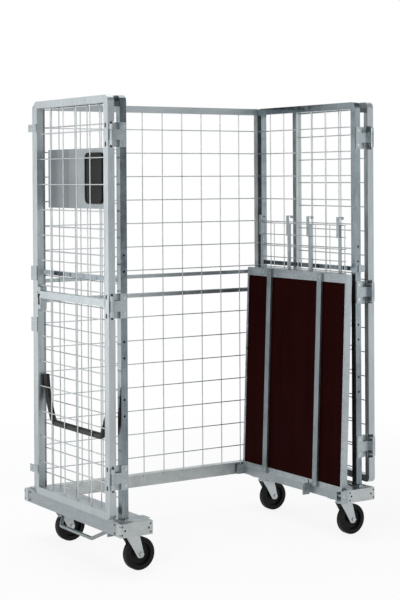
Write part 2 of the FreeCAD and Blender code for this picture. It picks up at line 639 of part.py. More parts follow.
def door_frame(label, sign):
    """A door's welded frame, folded back, with recesses for the fixed hinge leaves."""
    x = side(sign, "door_in", "door_out")
    y = ("-door_lead", "door_back")
    z = ("door_bottom", "cage_height")
    shell = rounded(box(x, y, z), number("corner_radius"), 4)
    gap_y = (f"{y[0]}+tube", f"{y[1]}-tube")
    through = side(sign, "door_in-1", "door_out+1")
    windows = [box(through, gap_y, span)
               for span in ((f"{z[0]}+tube", rail_z[0]), (rail_z[1], f"{z[1]}-tube"))]
    inside = side(sign, "door_in+tube_wall", "door_out-tube_wall")
    hollow_out = rounded(box(inside, (f"{y[0]}+tube_wall", f"{y[1]}-tube_wall"),
                             (f"{z[0]}+tube_wall", f"{z[1]}-tube_wall")),
                         number("corner_radius-tube_wall"), 4)
    keep = "(tube-tube_wall)"
    core_y = (f"{y[0]}+{keep}", f"{y[1]}-{keep}")
    cores = [box(through, core_y, (f"{z[0]}+{keep}", f"{rail_z[0]}+tube_wall")),
             box(through, core_y, (f"{rail_z[1]}-tube_wall", f"{z[1]}-{keep}"))]
    tools = windows + [cut(hollow_out, cores)]
    tools += [box(side(sign, "door_in-1", "pin_x+notch_gap"), (f"{y[0]}-1", f"{y[0]}+notch_depth"),
                  (f"{level}-leaf_height/2-notch_gap", f"{level}+leaf_height/2+notch_gap"))
              for level in HINGES]
    tools += [slot(sign, f"{level}+({end}*slot_spacing/2)") for level in HINGES for end in (-1, 1)]
    tools += [rod("vent_hole/2", (f"{sign}*door_middle", vent, "door_bottom-1"), "z", "tube_wall+2")
              for vent in (f"{y[0]}+corner_radius+vent_hole", f"{y[1]}-corner_radius-vent_hole")]
    if sign == LEFT:
        tools.append(box(x, latch_y, rail_z))
        hole = ("free_in", "tube+1")
    else:
        hole = ("door_back-tube_wall", "tube_wall+1")
    tools.append(rod("latch_bolt/2+latch_gap",
                     (f"{sign}*door_middle", f"{hole[0]}-0.5", "bolt_z"), "y", hole[1]))
    hung(label, sign, [cut(shell, tools)])


def slot(sign, level):
    """The shape of an upright slot through the outer wall of a door's hinged post."""
    y = "slot_inset-door_lead"
    x = side(sign, "door_out-tube_wall-1", "door_out+1")
    half = "(slot_height-slot_width)/2"
    flat = box(x, (f"{y}-slot_width/2", f"{y}+slot_width/2"), (f"{level}-{half}", f"{level}+{half}"))
    ends = [rod("slot_width/2", (x[0], y, f"{level}+({end})*{half}"), "x", "tube_wall+2") for end in (-1, 1)]
    return fuse([flat] + ends)


def door_mesh(label, sign):
    """A door's wires: uprights between its rails, level wires on their outer side."""
    inner = f"{sign}*door_wire_plane"
    outer = f"{sign}*(door_wire_plane+wire)"
    first = "door_wire_first" if sign == LEFT else "door_wire_first+door_wire_shift"
    spans = (("door_bottom+tube", rail_z[0]), (rail_z[1], "top_under"))
    wires = []
    for k in range(levels(f"door_width-({first})", "tube+wire", "door_wire_pitch")):
        y = f"door_back-({first})-{k}*door_wire_pitch"
        wires += [rod("wire/2", (inner, y, low), "z", f"({high})-({low})") for low, high in spans]
    for k in range(levels("door_wire_top", "door_bottom+tube+door_wire_rise/3", "door_wire_rise")):
        wires.append(rod("wire/2", (outer, "tube-door_lead", f"door_wire_top-{k}*door_wire_rise"), "y",
                         "door_width-2*tube"))
    hung(label, sign, wires)


def door_lock_tabs():
    """Plates on the left door that lap over the right door, each held by a rivet."""
    pieces = []
    plane = side(LEFT, "door_out+tab_clearance", "door_out+tab_clearance+tab_thickness")
    for level, reach, height in (("upper_tab", "tab_reach", "tab_height"),
                                 ("lower_tab", "tab_reach", "tab_height"),
                                 ("upper_guide", "guide_reach", "guide_height"),
                                 ("lower_guide", "guide_reach", "guide_height")):
        plate = box(plane, ("door_back-tab_hold", f"door_back+{reach}"),
                    (f"{level}-{height}/2", f"{level}+{height}/2"))
        rivet = rod("tab_rivet/2", (plane[0], "door_back-tube/2", level), "x", "tab_clearance+tab_thickness")
        pieces.append(fuse([plate, rivet]))
    node("door_lock_tabs", pieces)


def latch_case():
    """The box of the latch beside the free post, with a slot for a finger."""
    x = side(LEFT, "door_in", "door_out")
    shell = box(x, latch_y, latch_z)
    hollow = box(side(LEFT, "door_in+latch_wall", "door_out-latch_wall"),
                 (f"{latch_y[0]}+latch_wall", f"{latch_y[1]}-latch_wall"),
                 (f"{latch_z[0]}+latch_wall", f"{latch_z[1]}-latch_wall"))
    slot = box(side(LEFT, "door_out-latch_wall-1", "door_out+1"),
               (f"{latch_y[0]}+latch_wall", f"{latch_y[1]}-latch_wall"),
               ("bolt_z-latch_slot/2", "bolt_z+latch_slot/2"))
    hole = rod("latch_bolt/2+latch_gap", ("-door_middle", f"{latch_y[1]}-latch_wall-1", "bolt_z"), "y",
               "latch_wall+2")
    node("latch_case", [cut(shell, [hollow, slot, hole])])


def latch_bolt():
    """The sliding bolt with its finger plate, drawn back."""
    start = f"{latch_y[0]}+latch_wall+latch_gap"
    bar = rod("latch_bolt/2", ("-door_middle", start, "bolt_z"), "y", f"door_back-1-({start})")
    finger = box(side(LEFT, "door_middle", "door_out-1"), (start, f"{start}+latch_bolt*0.6"),
                 ("bolt_z-latch_finger/2", "bolt_z+latch_finger/2"))
    node("latch_bolt", [fuse([bar, finger])])


def door_catch():
    """A rounded tongue on the right front post, beside the folded door."""
    y = ("-panel_front-catch_thick", "-panel_front")
    plate = box(("panel_half-tube/2", "panel_half+catch_reach-catch_tall/2"), y,
                ("catch_height-catch_tall/2", "catch_height+catch_tall/2"))
    tip = rod("catch_tall/2",
              ("panel_half+catch_reach-catch_tall/2", y[0], "catch_height"), "y", "catch_thick")
    node("door_catch", [fuse([plate, tip])])


def door_buffers():
    """Rubber blocks on the front posts that keep the folded doors off."""
    pieces = [box(side(sign, "panel_half", "door_in-buffer_gap"),
                  ("buffer_drop-panel_front", "buffer_drop+buffer_deep-panel_front"),
                  ("cage_height-corner_radius-buffer_tall", "cage_height-corner_radius"))
              for sign in (LEFT, RIGHT)]
    node("door_buffers", pieces)


# ---------------------------------------------------------------- folding base shelf
def leaned(label, pieces):
    """Name a piece of the shelf and lean it about the hinge shaft."""
    group = doc.addObject("Part::Compound", "Leaned")
    group.Links = pieces
    centre = linked("vector(shelf_pivot_x-cage_shift; 0; shelf_pivot_z)")
    turn = linked("rotation(vector(0; 1; 0); shelf_lean)")
    group.setExpression("Placement", f"placement(vector(0; 0; 0); {turn}; {centre})")
    group.Label = label
    nodes.append(group)


ARMS = ("-shelf_front", "-arm_middle", "shelf_back-arm")


def shelf_frame():
    """The tray-shaped frame of the shelf, with a plain strip and three arms at the hinge shaft."""
    x = ("shelf_face", "shelf_face+shelf_thickness")
    y = ("-shelf_front", "shelf_back")
    block = box(x, y, ("shelf_foot", "shelf_head"))
    strip = box(("shelf_face", "shelf_face+shelf_wall"), y, ("shelf_low", "shelf_foot+1"))
    tray = box((f"{x[0]}+shelf_wall", f"{x[1]}+1"), (f"{y[0]}+shelf_wall", f"{y[1]}-shelf_wall"),
               ("shelf_foot+shelf_wall", "shelf_head-shelf_wall"))
    window = box((f"{x[0]}-1", f"{x[1]}+1"), (f"{y[0]}+shelf_side_rim", f"{y[1]}-shelf_side_rim"),
                 ("shelf_foot+shelf_wall", "shelf_head-shelf_end_rim"))
    ear_pass = box(("shelf_face-1", "shelf_face+shelf_wall+1"),
                   (f"{ARMS[1]}+arm+ear_gap-1", f"{ARMS[1]}+arm+ear_gap+ear+1"),
                   ("shelf_low-1", "shelf_foot"))
    pieces = [cut(fuse([block, strip]), [tray, window, ear_pass])]
    bores = []
    for start in ARMS:
        along = (start, f"{start}+arm")
        pieces.append(rod("arm_radius", ("shelf_pivot_x", start, "shelf_pivot_z"), "y", "arm"))
        pieces.append(box(("shelf_pivot_x-arm_radius", "shelf_face+shelf_wall"), along,
                          ("shelf_pivot_z+2", "shelf_low+arm_tie")))
        bores.append(rod("hinge_shaft/2+shaft_fit",
                         ("shelf_pivot_x", f"{start}-1", "shelf_pivot_z"), "y", "arm+2"))
    leaned("shelf_frame", [cut(fuse(pieces), bores)])


def shelf_board():
    """The plywood board inside the frame."""
    inset = "shelf_wall+board_play"
    leaned("shelf_board", [box(("shelf_face+shelf_wall", "shelf_face+shelf_wall+board"),
                               (f"-shelf_front+{inset}", f"shelf_back-({inset})"),
                               (f"shelf_foot+{inset}", f"shelf_head-({inset})"))])


def shelf_bars():
    """Two flat bars across the underside, from one end of the frame to the other."""
    bars = [box(("shelf_face-shelf_bar_thick", "shelf_face"),
                (f"shelf_bar_centre+({end}*shelf_bar_spacing-shelf_bar)/2",
                 f"shelf_bar_centre+({end}*shelf_bar_spacing+shelf_bar)/2"),
                ("shelf_low", "shelf_head"))
            for end in (-1, 1)]
    leaned("shelf_bars", bars)


def shelf_hinge_ears():
    """Four plates on the inner side of the right beam that carry the hinge pins."""
    starts = ("-half_depth", f"{ARMS[0]}-ear_gap-ear", f"{ARMS[1]}+arm+ear_gap", f"{ARMS[2]}+arm+ear_gap")
    ears = []
    for start in starts:
        low = "beam_underside-ear_drop" if start == starts[2] else "beam_underside"
        top = "beam_top" if start == starts[0] else "shelf_pivot_z+hinge_shaft/2+ear_edge"
        plate = box(("shelf_pivot_x-ear_reach", "beam_in"), (start, f"({start})+ear"), (low, top))
        bore = rod("hinge_shaft/2", ("shelf_pivot_x", f"({start})-1", "shelf_pivot_z"), "y", "ear+2")
        ears.append(cut(plate, [bore]))
    node("shelf_hinge_ears", ears)


def shelf_hinge_shaft():
    """A short pin through each arm and the ears beside it."""
    spans = (("-half_depth", f"{ARMS[0]}+arm+pin_end"),
             (f"{ARMS[1]}-pin_end", f"{ARMS[1]}+arm+ear_gap+ear"),
             (f"{ARMS[2]}-pin_end", f"{ARMS[2]}+arm+ear_gap+ear"))
    node("shelf_hinge_shaft", [rod("hinge_shaft/2", ("shelf_pivot_x", start, "shelf_pivot_z"), "y",
                                   f"{end}-({start})") for start, end in spans])


def shelf_ledges():
    """Two angles inside the left beam that the free end of the lowered shelf rests on."""
    top = "(shelf_pivot_z+shelf_offset-ledge_gap)"
    ledges = []
    for y in (("ledge_end-half_depth-ledge_length", "ledge_end-half_depth"),
              ("half_depth-ledge_end", "half_depth-ledge_end+ledge_length")):
        upright = box(side(LEFT, "beam_in-ledge_thick", "beam_in"), y, (f"{top}-ledge_tall", top))
        flat = box(side(LEFT, "beam_in-ledge_reach", "beam_in"), y, (f"{top}-ledge_thick", top))
        ledges.append(fuse([upright, flat]))
    node("shelf_ledges", ledges)


# ---------------------------------------------------------------- stored wire shelf


def wire_shelf_mesh():
    """The wires of the spare shelf, which stands upright inside the right panel."""
    radius = "shelf_wire/2"
    count = levels("2*wire_shelf_half-shelf_wire", "0", "shelf_wire_spacing")
    across = [f"{k}*shelf_wire_spacing-wire_shelf_half+{radius}" for k in range(count)]
    wires = [rod(radius, ("wire_shelf_plane", y, "stand"), "z", "wire_shelf_length")
             for y in across + [f"wire_shelf_half-{radius}"]]
    for k in range(levels("wire_shelf_length-shelf_wire", "0", "shelf_wire_pitch")):
        wires.append(rod(radius, ("wire_shelf_plane+shelf_wire", "-wire_shelf_half",
                                  f"wire_top-{radius}-{k}*shelf_wire_pitch"), "y", "2*wire_shelf_half"))
    node("wire_shelf_mesh", wires)


def wire_shelf_strips():
    """Four flat strips under the wires, each with a hook that stands at its upper end."""
    face = "(wire_shelf_plane-shelf_wire/2)"
    back = f"({face}-strip_thick-hook_back)"
    front = f"({face}+hook_front)"
    top = "(wire_top+strip_rise)"
    strips = []
    for reach in ("-strip_outer", "-strip_inner", "strip_inner", "strip_outer"):
        y = (f"strip_centre+({reach})-strip_width/2", f"strip_centre+({reach})+strip_width/2")
        bar = box((f"{face}-strip_thick", face), y, ("stand", "wire_top"))
        tail = box((back, face), y, ("wire_top-hook_tail", "wire_top"))
        riser = box((back, f"{back}+strip_thick"), y, ("wire_top-hook_tail", top))
        crown = box((back, front), y, (f"{top}-strip_thick", top))
        lip = box((f"{front}-strip_thick", front), y, (f"{top}-hook_lip", top))
        strips.append(fuse([bar, tail, riser, crown, lip]))
    node("wire_shelf_strips", strips)


# ---------------------------------------------------------------- casters
CASTERS = [(f"caster_{end}{flank}", f"{sign}*caster_x", y)
           for end, y in zip("fr", CASTERS_Y) for flank, sign in (("l", LEFT), ("r", RIGHT))]


def caster_top_plates():
    """The plates under the beams, drilled for their bolts and the kingpin."""
    plates = []
    for _, x, y in CASTERS:
        plate = box((f"{x}-top_plate_x/2", f"{x}+top_plate_x/2"),
                    (f"{y}-top_plate_y/2", f"{y}+top_plate_y/2"),
                    ("plate_under", "beam_underside"))
        holes = [rod("(bolt+bolt_clearance)/2", (f"{x}+({dx}*plate_bolt_x)", f"{y}+({dy}*plate_bolt_y)",
                                                 "plate_under-1"), "z", "top_plate_thick+2")
                 for dx in (-1, 1) for dy in (-1, 1)]
        holes.append(rod("kingpin/2", (x, y, "plate_under-1"), "z", "top_plate_thick+2"))
        plates.append(cut(plate, holes))
    node("caster_top_plates", plates)


def caster_bolts():
    """Four bolts and nuts that hold each plate to its beam."""
    pieces = []
    for _, x, y in CASTERS:
        for dx in (-1, 1):
            for dy in (-1, 1):
                pieces += screw((f"{x}+({dx}*plate_bolt_x)", f"{y}+({dy}*plate_bolt_y)", "plate_under"),
                                "z", 1, "top_plate_thick+beam_wall")
    node("caster_bolts", pieces)


def caster_ball_races():
    """The tapered upper races between the plates and the forks."""
    races = []
    for _, x, y in CASTERS:
        low = "(crown_top+swivel_play)"
        cone = doc.addObject("Part::Cone", "Race")
        bind(cone, Radius1="race_radius", Radius2="race_top", Height=f"plate_under-{low}")
        place(cone, (x, y, low))
        races.append(cut(cone, [rod("kingpin/2", (x, y, f"{low}-1"), "z", f"plate_under-{low}+2")]))
    node("caster_ball_races", races)


def caster_kingpins():
    """The headed pins that the forks swivel on."""
    pins = []
    for _, x, y in CASTERS:
        low = "(crown_under-swivel_play-kingpin_head_height)"
        head = rod("kingpin_head/2", (x, y, low), "z", "kingpin_head_height")
        shank = rod("kingpin/2", (x, y, low), "z", f"beam_underside-{low}")
        pins.append(fuse([head, shank]))
    node("caster_kingpins", pins)


def caster_fork(name, x, y):
    """A pressed fork: a round crown and two legs that taper down to the axle."""
    legs = doc.addObject("Part::Wedge", "Legs")
    bind(legs, Xmin="trail-fork_boss", Xmax="trail+fork_boss", Ymin="wheel_radius-fork_boss",
         Ymax="crown_top", Zmin="-fork_out", Zmax="fork_out", X2min="-fork_lead", X2max="fork_tail",
         Z2min="-fork_out", Z2max="fork_out")
    legs.Placement = FreeCAD.Placement(FreeCAD.Vector(), FreeCAD.Rotation(FreeCAD.Vector(1, 0, 0), 90))
    place(legs, (x, y, "0"))
    doc.recompute()
    low = legs.Shape.BoundBox.ZMin
    ends = [(index, number("fork_boss*0.8"), number("fork_boss*0.8"))
            for index, edge in enumerate(legs.Shape.Edges, start=1)
            if abs(edge.tangentAt(edge.FirstParameter).y) > 0.9 and edge.CenterOfMass.z < low + 1]
    soft = doc.addObject("Part::Fillet", "SoftLegs")
    soft.Base = legs
    soft.Edges = ends
    crown = rod("race_radius", (x, y, "crown_under"), "z", "fork_thick")
    space = box((f"{x}-2*race_radius", f"{x}+trail+wheel_radius"), (f"{y}-fork_in", f"{y}+fork_in"),
                ("0", "crown_under"))
    axle_hole = rod("axle/2", (f"{x}+trail", f"{y}-fork_out-1", "wheel_radius"), "y", "2*fork_out+2")
    pin_hole = rod("kingpin/2+running_fit", (x, y, "crown_under-1"), "z", "fork_thick+2")
    node(f"{name}_fork", [cut(fuse([soft, crown]), [space, axle_hole, pin_hole])])


def caster_axle(name, x, y):
    """The axle bolt, its nut and the bush that the wheel turns on."""
    wheel_x = f"{x}+trail"
    head = hexagon("axle_head", (wheel_x, f"{y}-fork_out-axle_head_height", "wheel_radius"), "y",
                   "axle_head_height")
    shank = rod("axle/2", (wheel_x, f"{y}-fork_out", "wheel_radius"), "y", "2*fork_out+axle_head_height+2")
    nut = cut(hexagon("axle_head", (wheel_x, f"{y}+fork_out", "wheel_radius"), "y", "axle_head_height"),
              [rod("axle/2", (wheel_x, f"{y}+fork_out-1", "wheel_radius"), "y", "axle_head_height+2")])
    bush = cut(rod("axle/2+bush_wall", (wheel_x, f"{y}-fork_in", "wheel_radius"), "y", "2*fork_in"),
               [rod("axle/2", (wheel_x, f"{y}-fork_in-1", "wheel_radius"), "y", "2*fork_in+2")])
    node(f"{name}_axle", [fuse([head, shank]), nut, bush])


def caster_wheel(name, x, y):
    """The wheel centre and its solid tyre, both turned about the axle."""
    hub = "(fork_in-hub_play)"
    bore = "axle/2+bush_wall+running_fit"
    outer = "wheel_radius-tyre_depth"
    rim = f"{outer}-wheel_rim"
    half = "(wheel_width/2-rim_inset)"
    centre = turned(f"{name}_wheel", (
        (bore, f"-{hub}"), ("hub_radius", f"-{hub}"), ("hub_radius", "-web_thick/2"), (rim, "-web_thick/2"),
        (rim, f"-{half}"), (outer, f"-{half}"), (outer, half), (rim, half), (rim, "web_thick/2"),
        ("hub_radius", "web_thick/2"), ("hub_radius", hub), (bore, hub)))
    tyre = turned(f"{name}_tyre", (
        (outer, f"-{half}"), ("wheel_radius-tyre_shoulder", "-wheel_width/2"),
        ("wheel_radius-0.3*tyre_shoulder", "0.3*tyre_shoulder-wheel_width/2"),
        ("wheel_radius", "tyre_shoulder-wheel_width/2"), ("wheel_radius", "wheel_width/2-tyre_shoulder"),
        ("wheel_radius-0.3*tyre_shoulder", "wheel_width/2-0.3*tyre_shoulder"),
        ("wheel_radius-tyre_shoulder", "wheel_width/2"), (outer, half)))
    for body in (centre, tyre):
        place(body, (f"{x}+trail", y, "wheel_radius"))


# ---------------------------------------------------------------- brake
def brake_pedal():
    """A bent rod under the left beam that is pressed with the foot."""
    axis = ("-brake_x", "brake_z")
    drop = ("-brake_x-brake_out", "brake_z-brake_down")
    runs = ((axis, "-brake_front"), (axis, "brake_front_run-brake_front"),
            (drop, "brake_front_run-brake_front+brake_front_slant"),
            (drop, "brake_back-brake_rear_run-brake_rear_slant"),
            (axis, "brake_back-brake_rear_run"), (axis, "brake_back"))
    points = [(x, y, z) for (x, z), y in runs]
    node("brake_pedal", [bent_rod(number("brake_rod"), points, number("brake_bend"))])


def brake_brackets():
    """Two plates under the left beam that the rod turns in."""
    plates = []
    for y in ("brake_bracket_inset-brake_front", "brake_back-brake_bracket_inset"):
        plate = box(("-brake_x-brake_bracket_half", "brake_bracket_half-brake_x"), (y, f"{y}+brake_bracket"),
                    ("brake_z-brake_bracket_drop", "beam_underside"))
        plates.append(cut(plate, [rod("brake_rod+brake_fit", ("-brake_x", f"{y}-1", "brake_z"), "y",
                                      "brake_bracket+2")]))
    node("brake_brackets", plates)


# ---------------------------------------------------------------- the whole object
def build():
    """Make every sub-part."""
    for name, sign in (("left", LEFT), ("right", RIGHT)):
        base_beam(f"base_beam_{name}", sign)
        side_frame(f"side_frame_{name}", sign)
        side_mesh(f"side_mesh_{name}", sign)
        door_frame(f"door_{name}_frame", sign)
        door_mesh(f"door_{name}_mesh", sign)
        door_knuckles(f"door_{name}_knuckles", sign)
    for make in (beam_end_caps, base_rear_beam, rear_frame, rear_mesh, foot_plates, frame_bolts, sign_plate,
                 document_pocket, push_handle, door_hinge_brackets, hinge_rivets, door_hinge_pins,
                 door_catch, door_buffers, door_lock_tabs, latch_case, latch_bolt, shelf_frame,
                 shelf_board, shelf_bars, shelf_hinge_ears, shelf_hinge_shaft, shelf_ledges,
                 wire_shelf_mesh, wire_shelf_strips, caster_top_plates, caster_bolts, caster_ball_races,
                 caster_kingpins, brake_pedal, brake_brackets):
        make()
    for name, x, y in CASTERS:
        caster_fork(name, x, y)
        caster_axle(name, x, y)
        caster_wheel(name, x, y)


def check():
    """Stop when any object failed or any sub-part isn't sound."""
    for thing in doc.Objects:
        if {"Invalid", "Error"} & set(thing.State):
            raise RuntimeError(f"{thing.Name} ({thing.Label}) has state {thing.State}")
    for part in nodes:
        if part.Shape.isNull() or not part.Shape.isValid() or not part.Shape.Solids:
            raise RuntimeError(f"{part.Label} has no sound shape")


def write():
    """Write one STEP file for each sub-part."""
    os.makedirs("parts", exist_ok=True)
    for part in nodes:
        part.Shape.exportStep(os.path.join("parts", f"{part.Label}.step"))


build()
doc.recompute()
check()
write()
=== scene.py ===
"""Looks of a roll cage container: finishes, small fittings and the studio round the frame."""

import json
import logging
import math
from dataclasses import dataclass, field
from enum import Enum
from typing import Any, Iterable, Sequence

import bpy
import numpy as np
from mathutils import Matrix, Vector


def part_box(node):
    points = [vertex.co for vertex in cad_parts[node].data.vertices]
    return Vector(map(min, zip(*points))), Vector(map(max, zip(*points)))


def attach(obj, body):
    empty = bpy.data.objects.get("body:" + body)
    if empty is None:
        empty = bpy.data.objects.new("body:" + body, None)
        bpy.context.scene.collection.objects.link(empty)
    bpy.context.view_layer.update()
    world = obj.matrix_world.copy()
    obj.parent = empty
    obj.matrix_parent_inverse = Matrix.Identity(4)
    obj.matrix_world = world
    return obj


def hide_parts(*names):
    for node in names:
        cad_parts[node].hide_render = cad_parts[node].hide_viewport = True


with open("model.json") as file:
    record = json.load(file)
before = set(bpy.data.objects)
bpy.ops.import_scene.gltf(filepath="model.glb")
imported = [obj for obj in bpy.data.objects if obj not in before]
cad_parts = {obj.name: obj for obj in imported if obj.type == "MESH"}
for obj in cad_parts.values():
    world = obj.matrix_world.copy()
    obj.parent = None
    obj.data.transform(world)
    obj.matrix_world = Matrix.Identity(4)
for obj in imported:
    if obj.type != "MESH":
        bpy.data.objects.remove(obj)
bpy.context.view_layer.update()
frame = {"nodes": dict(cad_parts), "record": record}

log = logging.getLogger("roll_cage")
logging.basicConfig(level=logging.INFO, format="%(name)s: %(message)s")

Material = bpy.types.Material
Pair = tuple[float, float]
Triple = tuple[float, float, float]
Faces = list[list[int]]

WHITE = (1.0, 1.0, 1.0, 1.0)
MIX_FIRST, MIX_SECOND, MIX_RESULT = 6, 7, 2     # the colour sockets of a Mix node


# ------------------------------------------------------------------ shader maths
class Wire:
    """A socket of a node tree that can be used in Python expressions."""

    def __init__(self, tree: "Tree", socket: bpy.types.NodeSocket) -> None:
        """Keep the tree and the socket."""
        self.tree = tree
        self.socket = socket

    def _math(self, operation: str, *values: Any) -> "Wire":
        """Add one Math node and return its result."""
        return self.tree.add("ShaderNodeMath", {"operation": operation}, dict(enumerate(values)))

    def __add__(self, other: Any) -> "Wire":
        """Sum."""
        return self._math("ADD", self, other)

    __radd__ = __add__

    def __mul__(self, other: Any) -> "Wire":
        """Product."""
        return self._math("MULTIPLY", self, other)

    __rmul__ = __mul__

    def __sub__(self, other: Any) -> "Wire":
        """Difference."""
        return self._math("SUBTRACT", self, other)

    def __rsub__(self, other: Any) -> "Wire":
        """Difference with the value on the left."""
        return self._math("SUBTRACT", other, self)

    def __truediv__(self, other: Any) -> "Wire":
        """Quotient."""
        return self._math("DIVIDE", self, other)

    def absolute(self) -> "Wire":
        """Size without sign."""
        return self._math("ABSOLUTE", self)

    def fraction(self) -> "Wire":
        """What is left after the whole part."""
        return self._math("FRACT", self)

    def centred(self) -> "Wire":
        """A value that lies round one half, moved to lie round zero."""
        return self - 0.5

    def clamp(self) -> "Wire":
        """Held between zero and one."""
        return self.tree.add("ShaderNodeClamp", {}, {"Value": self})

    def ramp(self, low: float, high: float) -> "Wire":
        """Smooth step from zero at low to one at high.

        Args:
            low: value that gives zero.
            high: value that gives one.

        Returns:
            The smooth step.
        """
        return self.tree.add("ShaderNodeMapRange", {"interpolation_type": "SMOOTHSTEP"},
                             {"Value": self, "From Min": low, "From Max": high})


class Tree:
    """The node tree of one material or of the room, with one way to add any node."""

    def __init__(self, owner: Material | bpy.types.World) -> None:
        """Empty the owner's tree and give it an output.

        Args:
            owner: the material or world.
        """
        owner.use_nodes = True
        self.tree = owner.node_tree
        self.tree.nodes.clear()
        kind = "World" if isinstance(owner, bpy.types.World) else "Material"
        self.output = self.tree.nodes.new(f"ShaderNodeOutput{kind}")

    def add(self, kind: str, settings: dict[str, Any], inputs: dict[Any, Any],
            out: Any = 0) -> Wire:
        """Add a node.

        Args:
            kind: the node's type.
            settings: its properties, set before its sockets.
            inputs: values or wires by socket name or index.
            out: the output's name or index.

        Returns:
            The chosen output.
        """
        node = self.tree.nodes.new(kind)
        for name, value in settings.items():
            setattr(node, name, value)
        for name, value in inputs.items():
            if isinstance(value, Wire):
                self.tree.links.new(value.socket, node.inputs[name])
            else:
                node.inputs[name].default_value = value
        return Wire(self, node.outputs[out])

    def position(self) -> Wire:
        """Object coordinates in metres."""
        return self.add("ShaderNodeTexCoord", {}, {}, "Object")

    def axes(self, vector: Wire) -> tuple[Wire, Wire, Wire]:
        """The three parts of a vector."""
        first = self.add("ShaderNodeSeparateXYZ", {}, {0: vector})
        return tuple(Wire(self, out) for out in first.socket.node.outputs)

    def stretched(self, vector: Wire, scale: Triple) -> Wire:
        """A vector with each part multiplied."""
        return self.add("ShaderNodeVectorMath", {"operation": "MULTIPLY"}, {0: vector, 1: scale})

    def noise(self, vector: Wire, scale: float, detail: float, rough: float = 0.55) -> Wire:
        """Fractal noise between about 0.2 and 0.8."""
        return self.add("ShaderNodeTexNoise", {}, {"Vector": vector, "Scale": scale,
                                                   "Detail": detail, "Roughness": rough})

    def cells(self, vector: Wire, scale: float) -> Wire:
        """A random grey for each cell of a Voronoi pattern."""
        colour = self.add("ShaderNodeTexVoronoi", {}, {"Vector": vector, "Scale": scale}, "Color")
        return self.add("ShaderNodeSeparateColor", {}, {0: colour})

    def blend(self, factor: Any, first: Any, second: Any) -> Wire:
        """Mix two colours.

        Args:
            factor: share of the second colour.
            first: a colour, as three numbers or a wire.
            second: another one.

        Returns:
            The mixed colour.
        """
        first, second = ((*colour, 1.0) if isinstance(colour, tuple) else colour
                         for colour in (first, second))
        return self.add("ShaderNodeMix", {"data_type": "RGBA"},
                        {0: factor, MIX_FIRST: first, MIX_SECOND: second}, MIX_RESULT)

    def bump(self, height: Wire, strength: float, distance: float) -> Wire:
        """A normal from a height."""
        return self.add("ShaderNodeBump", {},
                        {"Height": height, "Strength": strength, "Distance": distance})

    def surface(self, inputs: dict[str, Any]) -> None:
        """Close the tree with a Principled shader."""
        self.close(self.add("ShaderNodeBsdfPrincipled", {}, inputs))

    def mixed(self, factor: Wire, first: Wire, second: Wire) -> Wire:
        """Mix two shaders."""
        return self.add("ShaderNodeMixShader", {}, {0: factor, 1: first, 2: second})

    def close(self, shader: Wire) -> None:
        """Link a shader to the output."""
        self.tree.links.new(shader.socket, self.output.inputs["Surface"])

    def rays(self, *names: str) -> Wire:
        """The sum of some Light Path outputs, held between zero and one.

        Args:
            names: the outputs.

        Returns:
            One for the rays that are named, zero for others.
        """
        total = self.add("ShaderNodeLightPath", {}, {}, names[0])
        for name in names[1:]:
            total = total + self.add("ShaderNodeLightPath", {}, {}, name)
        return total.clamp()


# ------------------------------------------------------------------ finishes
@dataclass(frozen=True)
class Finish:
    """A named material, painted from Object coordinates."""

    name: str

    def paint(self, tree: Tree, place: Wire) -> None:
        """Fill the tree with the finish's nodes."""
        raise NotImplementedError

    def make(self) -> Material:
        """Build the material.

        Returns:
            The new material.
        """
        material = bpy.data.materials.new(self.name)
        tree = Tree(material)
        self.paint(tree, tree.position())
        return material


class Grain(Enum):
    """The direction in which a piece was rolled or drawn, as the stretch of its streaks."""

    NONE = (1.0, 1.0, 1.0)
    ALONG_Y = (1.0, 0.05, 1.0)
    ALONG_Z = (1.0, 1.0, 0.05)


@dataclass(frozen=True)
class Zinc(Finish):
    """Galvanised or plated steel: soft spangle, drawn streaks, dull patches, and darker, warmer
    patches low down.
    """

    light: Triple = (0.47, 0.515, 0.535)
    dark: Triple = (0.27, 0.305, 0.325)
    low_colour: Triple = (0.30, 0.29, 0.27)
    roughness: float = 0.36
    metallic: float = 0.9
    spangle: float = 55.0
    contrast: float = 0.5
    relief: float = 0.16
    relief_depth: float = 0.0006
    grain: Grain = Grain.ALONG_Z
    streak_scale: float = 260.0
    patch_scale: float = 7.0
    fine_scale: float = 900.0
    tone_shares: Triple = (0.45, 0.9, 1.1)      # of the spangle, the streaks and the patches
    rough_shares: Triple = (0.10, 0.22, 0.2)    # of the spangle, the patches and the darkening low down
    relief_shares: Triple = (0.35, 0.45, 0.3)   # of the spangle, the streaks and the fine grain
    low_share: float = 0.35
    low_heights: Pair = (0.10, 0.34)
    low_patches: Pair = (0.42, 0.62)

    def paint(self, tree: Tree, place: Wire) -> None:
        """Fill the tree with the finish's nodes.

        Args:
            tree: the material's tree.
            place: Object coordinates.
        """
        _, _, height = tree.axes(place)
        cells = tree.cells(place, self.spangle)
        streak = tree.noise(tree.stretched(place, self.grain.value), self.streak_scale, detail=2.0)
        patch = tree.noise(place, self.patch_scale, detail=4.0)
        fine = tree.noise(place, self.fine_scale, detail=2.0)
        by_cell, by_streak, by_patch = self.tone_shares
        tone = (cells.centred() * (by_cell * self.contrast) + streak.centred() * by_streak
                + patch.centred() * by_patch + 0.5).clamp()
        # darker, warmer colour low down: the dust mask is full below 0.10 m, gone above 0.34 m, and
        # only in patches
        dust = (1 - height.ramp(*self.low_heights)) * patch.ramp(*self.low_patches)
        colour = tree.blend(tone, self.dark, self.light)
        colour = tree.blend(dust * self.low_share, colour, self.low_colour)
        by_cell, by_patch, by_dust = self.rough_shares
        rough = cells.centred() * by_cell + patch.centred() * by_patch + dust * by_dust
        by_cell, by_streak, by_fine = self.relief_shares
        relief = cells * by_cell + streak * by_streak + fine * by_fine
        tree.surface({"Base Color": colour, "Metallic": self.metallic,
                      "Roughness": rough + self.roughness,
                      "Normal": tree.bump(relief, self.relief, self.relief_depth)})


